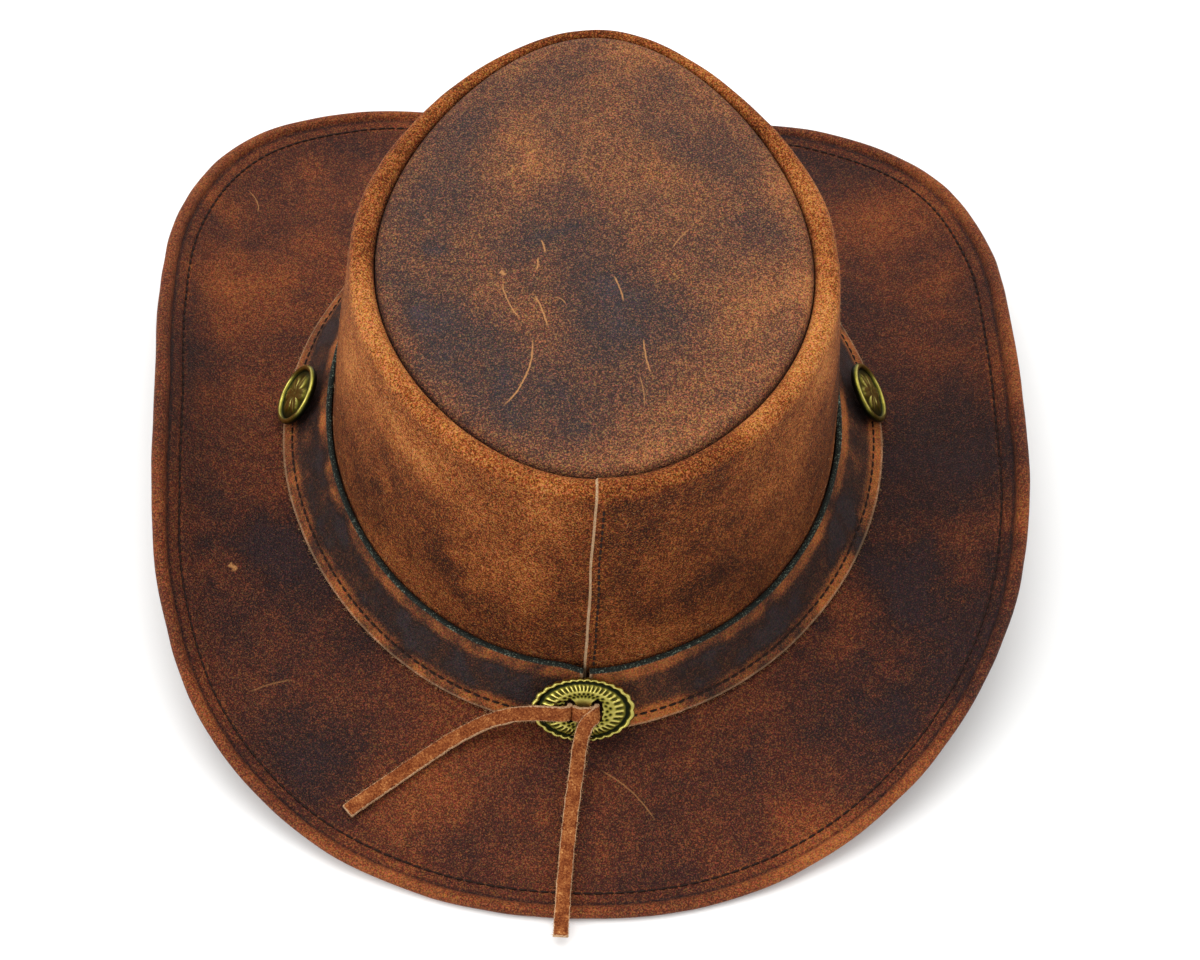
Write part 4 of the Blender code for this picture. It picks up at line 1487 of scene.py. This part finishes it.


# Waxed pull-up cowhide: dark brown with a violet-grey painted sheen where the wax lies darkest, rusty where it
# was bent or rubbed, pale fibre tips
brimLook = {
    "deepestAndSheen": "#2b1a1c", "deep": "#281413", "body": "#431c12", "warm": "#662d15", "tan": "#8c4a26",
    "fibre": "#b26a35", "paleFibre": "#7d4a2e", "fewFibres": 0.30, "manyFibres": 0.80, "pore": 0.55,
    "cloud": 62, "contrast": 1.25, "lift": -0.42,
    "waxy": 0.38, "dry": 0.70, "gloss": 0.17, "hues": 0.8, "nap": 0.02,
}
wallLook = {
    "deepestAndSheen": "#331608", "deep": "#3a1708", "body": "#5f290b", "warm": "#7f3d14", "tan": "#a5602c",
    "fibre": "#cf8c4e", "paleFibre": "#a35a28", "fewFibres": 0.42, "manyFibres": 0.90, "pore": 0.36,
    "cloud": 42, "contrast": 1.25, "lift": -0.37,
    "waxy": 0.50, "dry": 0.80, "gloss": 0.10, "hues": 0.8, "nap": 0.02,
}
tipLook = {
    "deepestAndSheen": "#3b2f34", "deep": "#332322", "body": "#45271e", "warm": "#61351f", "tan": "#8c522e",
    "fibre": "#bd7d45", "paleFibre": "#8d5f41", "fewFibres": 0.40, "manyFibres": 0.85, "pore": 0.46,
    "cloud": 46, "contrast": 1.3, "lift": -0.40,
    "waxy": 0.42, "dry": 0.72, "gloss": 0.26, "hues": 0.8, "nap": 0.03,
}
bandLook = {
    "deepestAndSheen": "#2f2526", "deep": "#261510", "body": "#3c1f14", "warm": "#6b371a", "tan": "#965023",
    "fibre": "#b87038", "paleFibre": "#6c3f26", "fewFibres": 0.25, "manyFibres": 0.80, "pore": 0.55,
    "cloud": 30, "contrast": 0.9, "lift": -0.36,
    "waxy": 0.34, "dry": 0.72, "gloss": 0.25, "hues": 0.8, "nap": 0.02,
}
# Scuffs that cut through the wax, by the points in the photo where they start and end
tipMarks = [
    {"from": (532.5, 333.8), "to": (504, 397), "bend": 0.0028, "width": 0.00028, "depth": 0.85},
    {"from": (502.5, 281), "to": (520, 315), "bend": -0.0010, "width": 0.00024, "depth": 0.8},
    {"from": (535, 293.7), "to": (547.5, 323.7), "bend": 0.0004, "width": 0.00028, "depth": 0.85},
    {"from": (541, 240), "to": (545, 253), "bend": 0.0003, "width": 0.00026, "depth": 0.8},
    {"from": (538, 257), "to": (536, 270), "bend": 0.0003, "width": 0.00026, "depth": 0.75},
    {"from": (613.7, 275), "to": (623.7, 300), "bend": 0.0004, "width": 0.00026, "depth": 0.8},
    {"from": (643.7, 335), "to": (651, 367), "bend": -0.0004, "width": 0.00026, "depth": 0.8},
    {"from": (553.7, 296), "to": (566, 303), "bend": 0.0008, "width": 0.00020, "depth": 0.6},
    {"from": (672.5, 247.5), "to": (690, 227.5), "bend": 0.0004, "width": 0.00020, "depth": 0.6},
    {"from": (500, 269), "to": (506, 273), "bend": 0.0, "width": 0.00060, "depth": 0.8},
    {"from": (640, 370), "to": (645, 400), "bend": 0.0005, "width": 0.00022, "depth": 0.5},
]
brimMarks = [
    {"from": (248, 190), "to": (258, 212), "bend": 0.0014, "width": 0.00022, "depth": 0.6},
    {"from": (600, 770), "to": (655, 820), "bend": 0.0016, "width": 0.00024, "depth": 0.45},
    {"from": (229, 564), "to": (237, 570), "bend": 0.0, "width": 0.00100, "depth": 0.8},
    {"from": (250, 692), "to": (292, 680), "bend": 0.0008, "width": 0.00030, "depth": 0.3},
]

for piece, look, marks, find in (
    (brimPiece, brimLook, brimMarks, brimAt), (wallPiece, wallLook, (), wallAt),
    (tipPiece, tipLook, tipMarks, tipAt), (bandPiece, bandLook, (), wallAt),
):
    piece.data.materials.append(leatherMaterial("waxed_" + piece.name, look, marks, find))


def threadMaterial():
    # Waxed polyester thread, dark brown and slightly glossy
    material, tree, shader = newMaterial("waxed_thread")
    strand = noiseValue(tree, objectPlace(tree), 0.5, 2.0)
    tint = blend(tree, strand, "#150c08", "#2b1810")
    setShader(tree, shader, {"Base Color": tint, "Roughness": 0.6, "Specular IOR Level": 0.15})
    return material


def suedeMaterial():
    # Split-leather thong, brushed on both sides: matt, with a pale frayed edge
    material, tree, shader = newMaterial("suede_thong")
    coords = objectPlace(tree)
    nap = noiseValue(tree, coords, 0.6, 3.0, 0.7, 0.6)
    mixed = addShare(tree, noiseValue(tree, coords, 3.5, 3.0), 0.5, nap)
    tint = rampColour(tree, mixed, [(0.55, "#4f2210"), (0.72, "#7a3e1e"), (0.88, "#a06234"), (1.0, "#c89058")])
    frayed = rangeValue(tree, addShare(tree, nap, 1.6, painted(tree, "edge")), 1.45, 1.9, 0.0, 0.85)
    setShader(tree, shader, {
        "Base Color": blend(tree, frayed, tint, "#d8b48c"), "Roughness": 0.92, "Specular IOR Level": 0.1,
        "Normal": dents(tree, mixed, 0.7, 0.0003),
    })
    return material


def fibreMaterial():
    # Loose collagen fibres of the split hide: pale, dry and a little translucent
    material, tree, shader = newMaterial("loose_fibre")
    tint = blend(tree, noiseValue(tree, objectPlace(tree), 3, 1.0), "#9a6238", "#dcb586")
    setShader(tree, shader, {"Base Color": tint, "Roughness": 0.9, "Specular IOR Level": 0.1})
    return material


def brassMaterial():
    # Antiqued brass: dark lacquer left in the hollows and polished off the high places; on the concho this also
    # holds painted shade in its channel and painted highlights on its rim and flutes
    material, tree, shader = newMaterial("antique_brass")
    stain = noiseValue(tree, objectPlace(tree), 2.4, 4.0, 0.65)
    bright = addShare(tree, stain, 0.35, painted(tree, "high"))
    tint = rampColour(tree, bright, [(0.22, "#1c1f12"), (0.48, "#4b4a20"), (0.78, "#857b2c"), (1.0, "#cabd66")])
    setShader(tree, shader, {
        "Base Color": tint, "Roughness": rangeValue(tree, bright, 0.2, 1.0, 0.5, 0.28), "Metallic": 1.0,
        "Normal": dents(tree, stain, 0.15, 0.0003),
    })
    return material


thread = threadMaterial()
for piece in (hemThread, hemThreadUnder, bandThread, lapThread):
    piece.data.materials.append(thread)
suede = suedeMaterial()
for piece in (*(piece for piece, _ in laces.values()), bridgePiece):
    piece.data.materials.append(suede)
fibre = fibreMaterial()
for piece in (laceFibres, bandFibres, wallFibres):
    piece.data.materials.append(fibre)
brass = brassMaterial()
for piece in (*studPieces, conchoPiece):
    piece.data.materials.append(brass)
print("materials given")


# Pale floor and soft studio light

studio = {
    "floor": "#f6f6f5",
    "world": 0.92,
}


def makeStudio():
    deselect()
    bpy.ops.mesh.primitive_plane_add(size=30)
    floor = bpy.context.object
    floor.name = "floor"
    material, tree, shader = newMaterial("pale_floor")
    shader.inputs["Base Color"].default_value = hexColour(studio["floor"])
    shader.inputs["Roughness"].default_value = 0.9
    floor.data.materials.append(material)
    world = bpy.data.worlds.new("studio")
    world.use_nodes = True
    world.node_tree.nodes["Background"].inputs["Color"].default_value = (1.0, 1.0, 1.0, 1.0)
    world.node_tree.nodes["Background"].inputs["Strength"].default_value = studio["world"]
    bpy.context.scene.world = world
    for name, place, size, power in (
        ("overhead", (0.1, -0.5, 2.0), 1.6, 22),
        ("left", (1.5, 0.5, 1.2), 1.2, 12),
        ("right", (-1.6, 0.3, 1.2), 1.2, 2),
    ):
        data = bpy.data.lights.new(name, "AREA")
        data.size = size
        data.energy = power
        light = bpy.data.objects.new(name, data)
        bpy.context.scene.collection.objects.link(light)
        light.location = place
        light.rotation_euler = (Vector(place) - Vector((0, 0, 0.06))).to_track_quat("Z", "Y").to_euler()


makeStudio()
bpy.context.scene.view_settings.view_transform = "Standard"  # colours as a plain product photo gives them
print("studio lit")
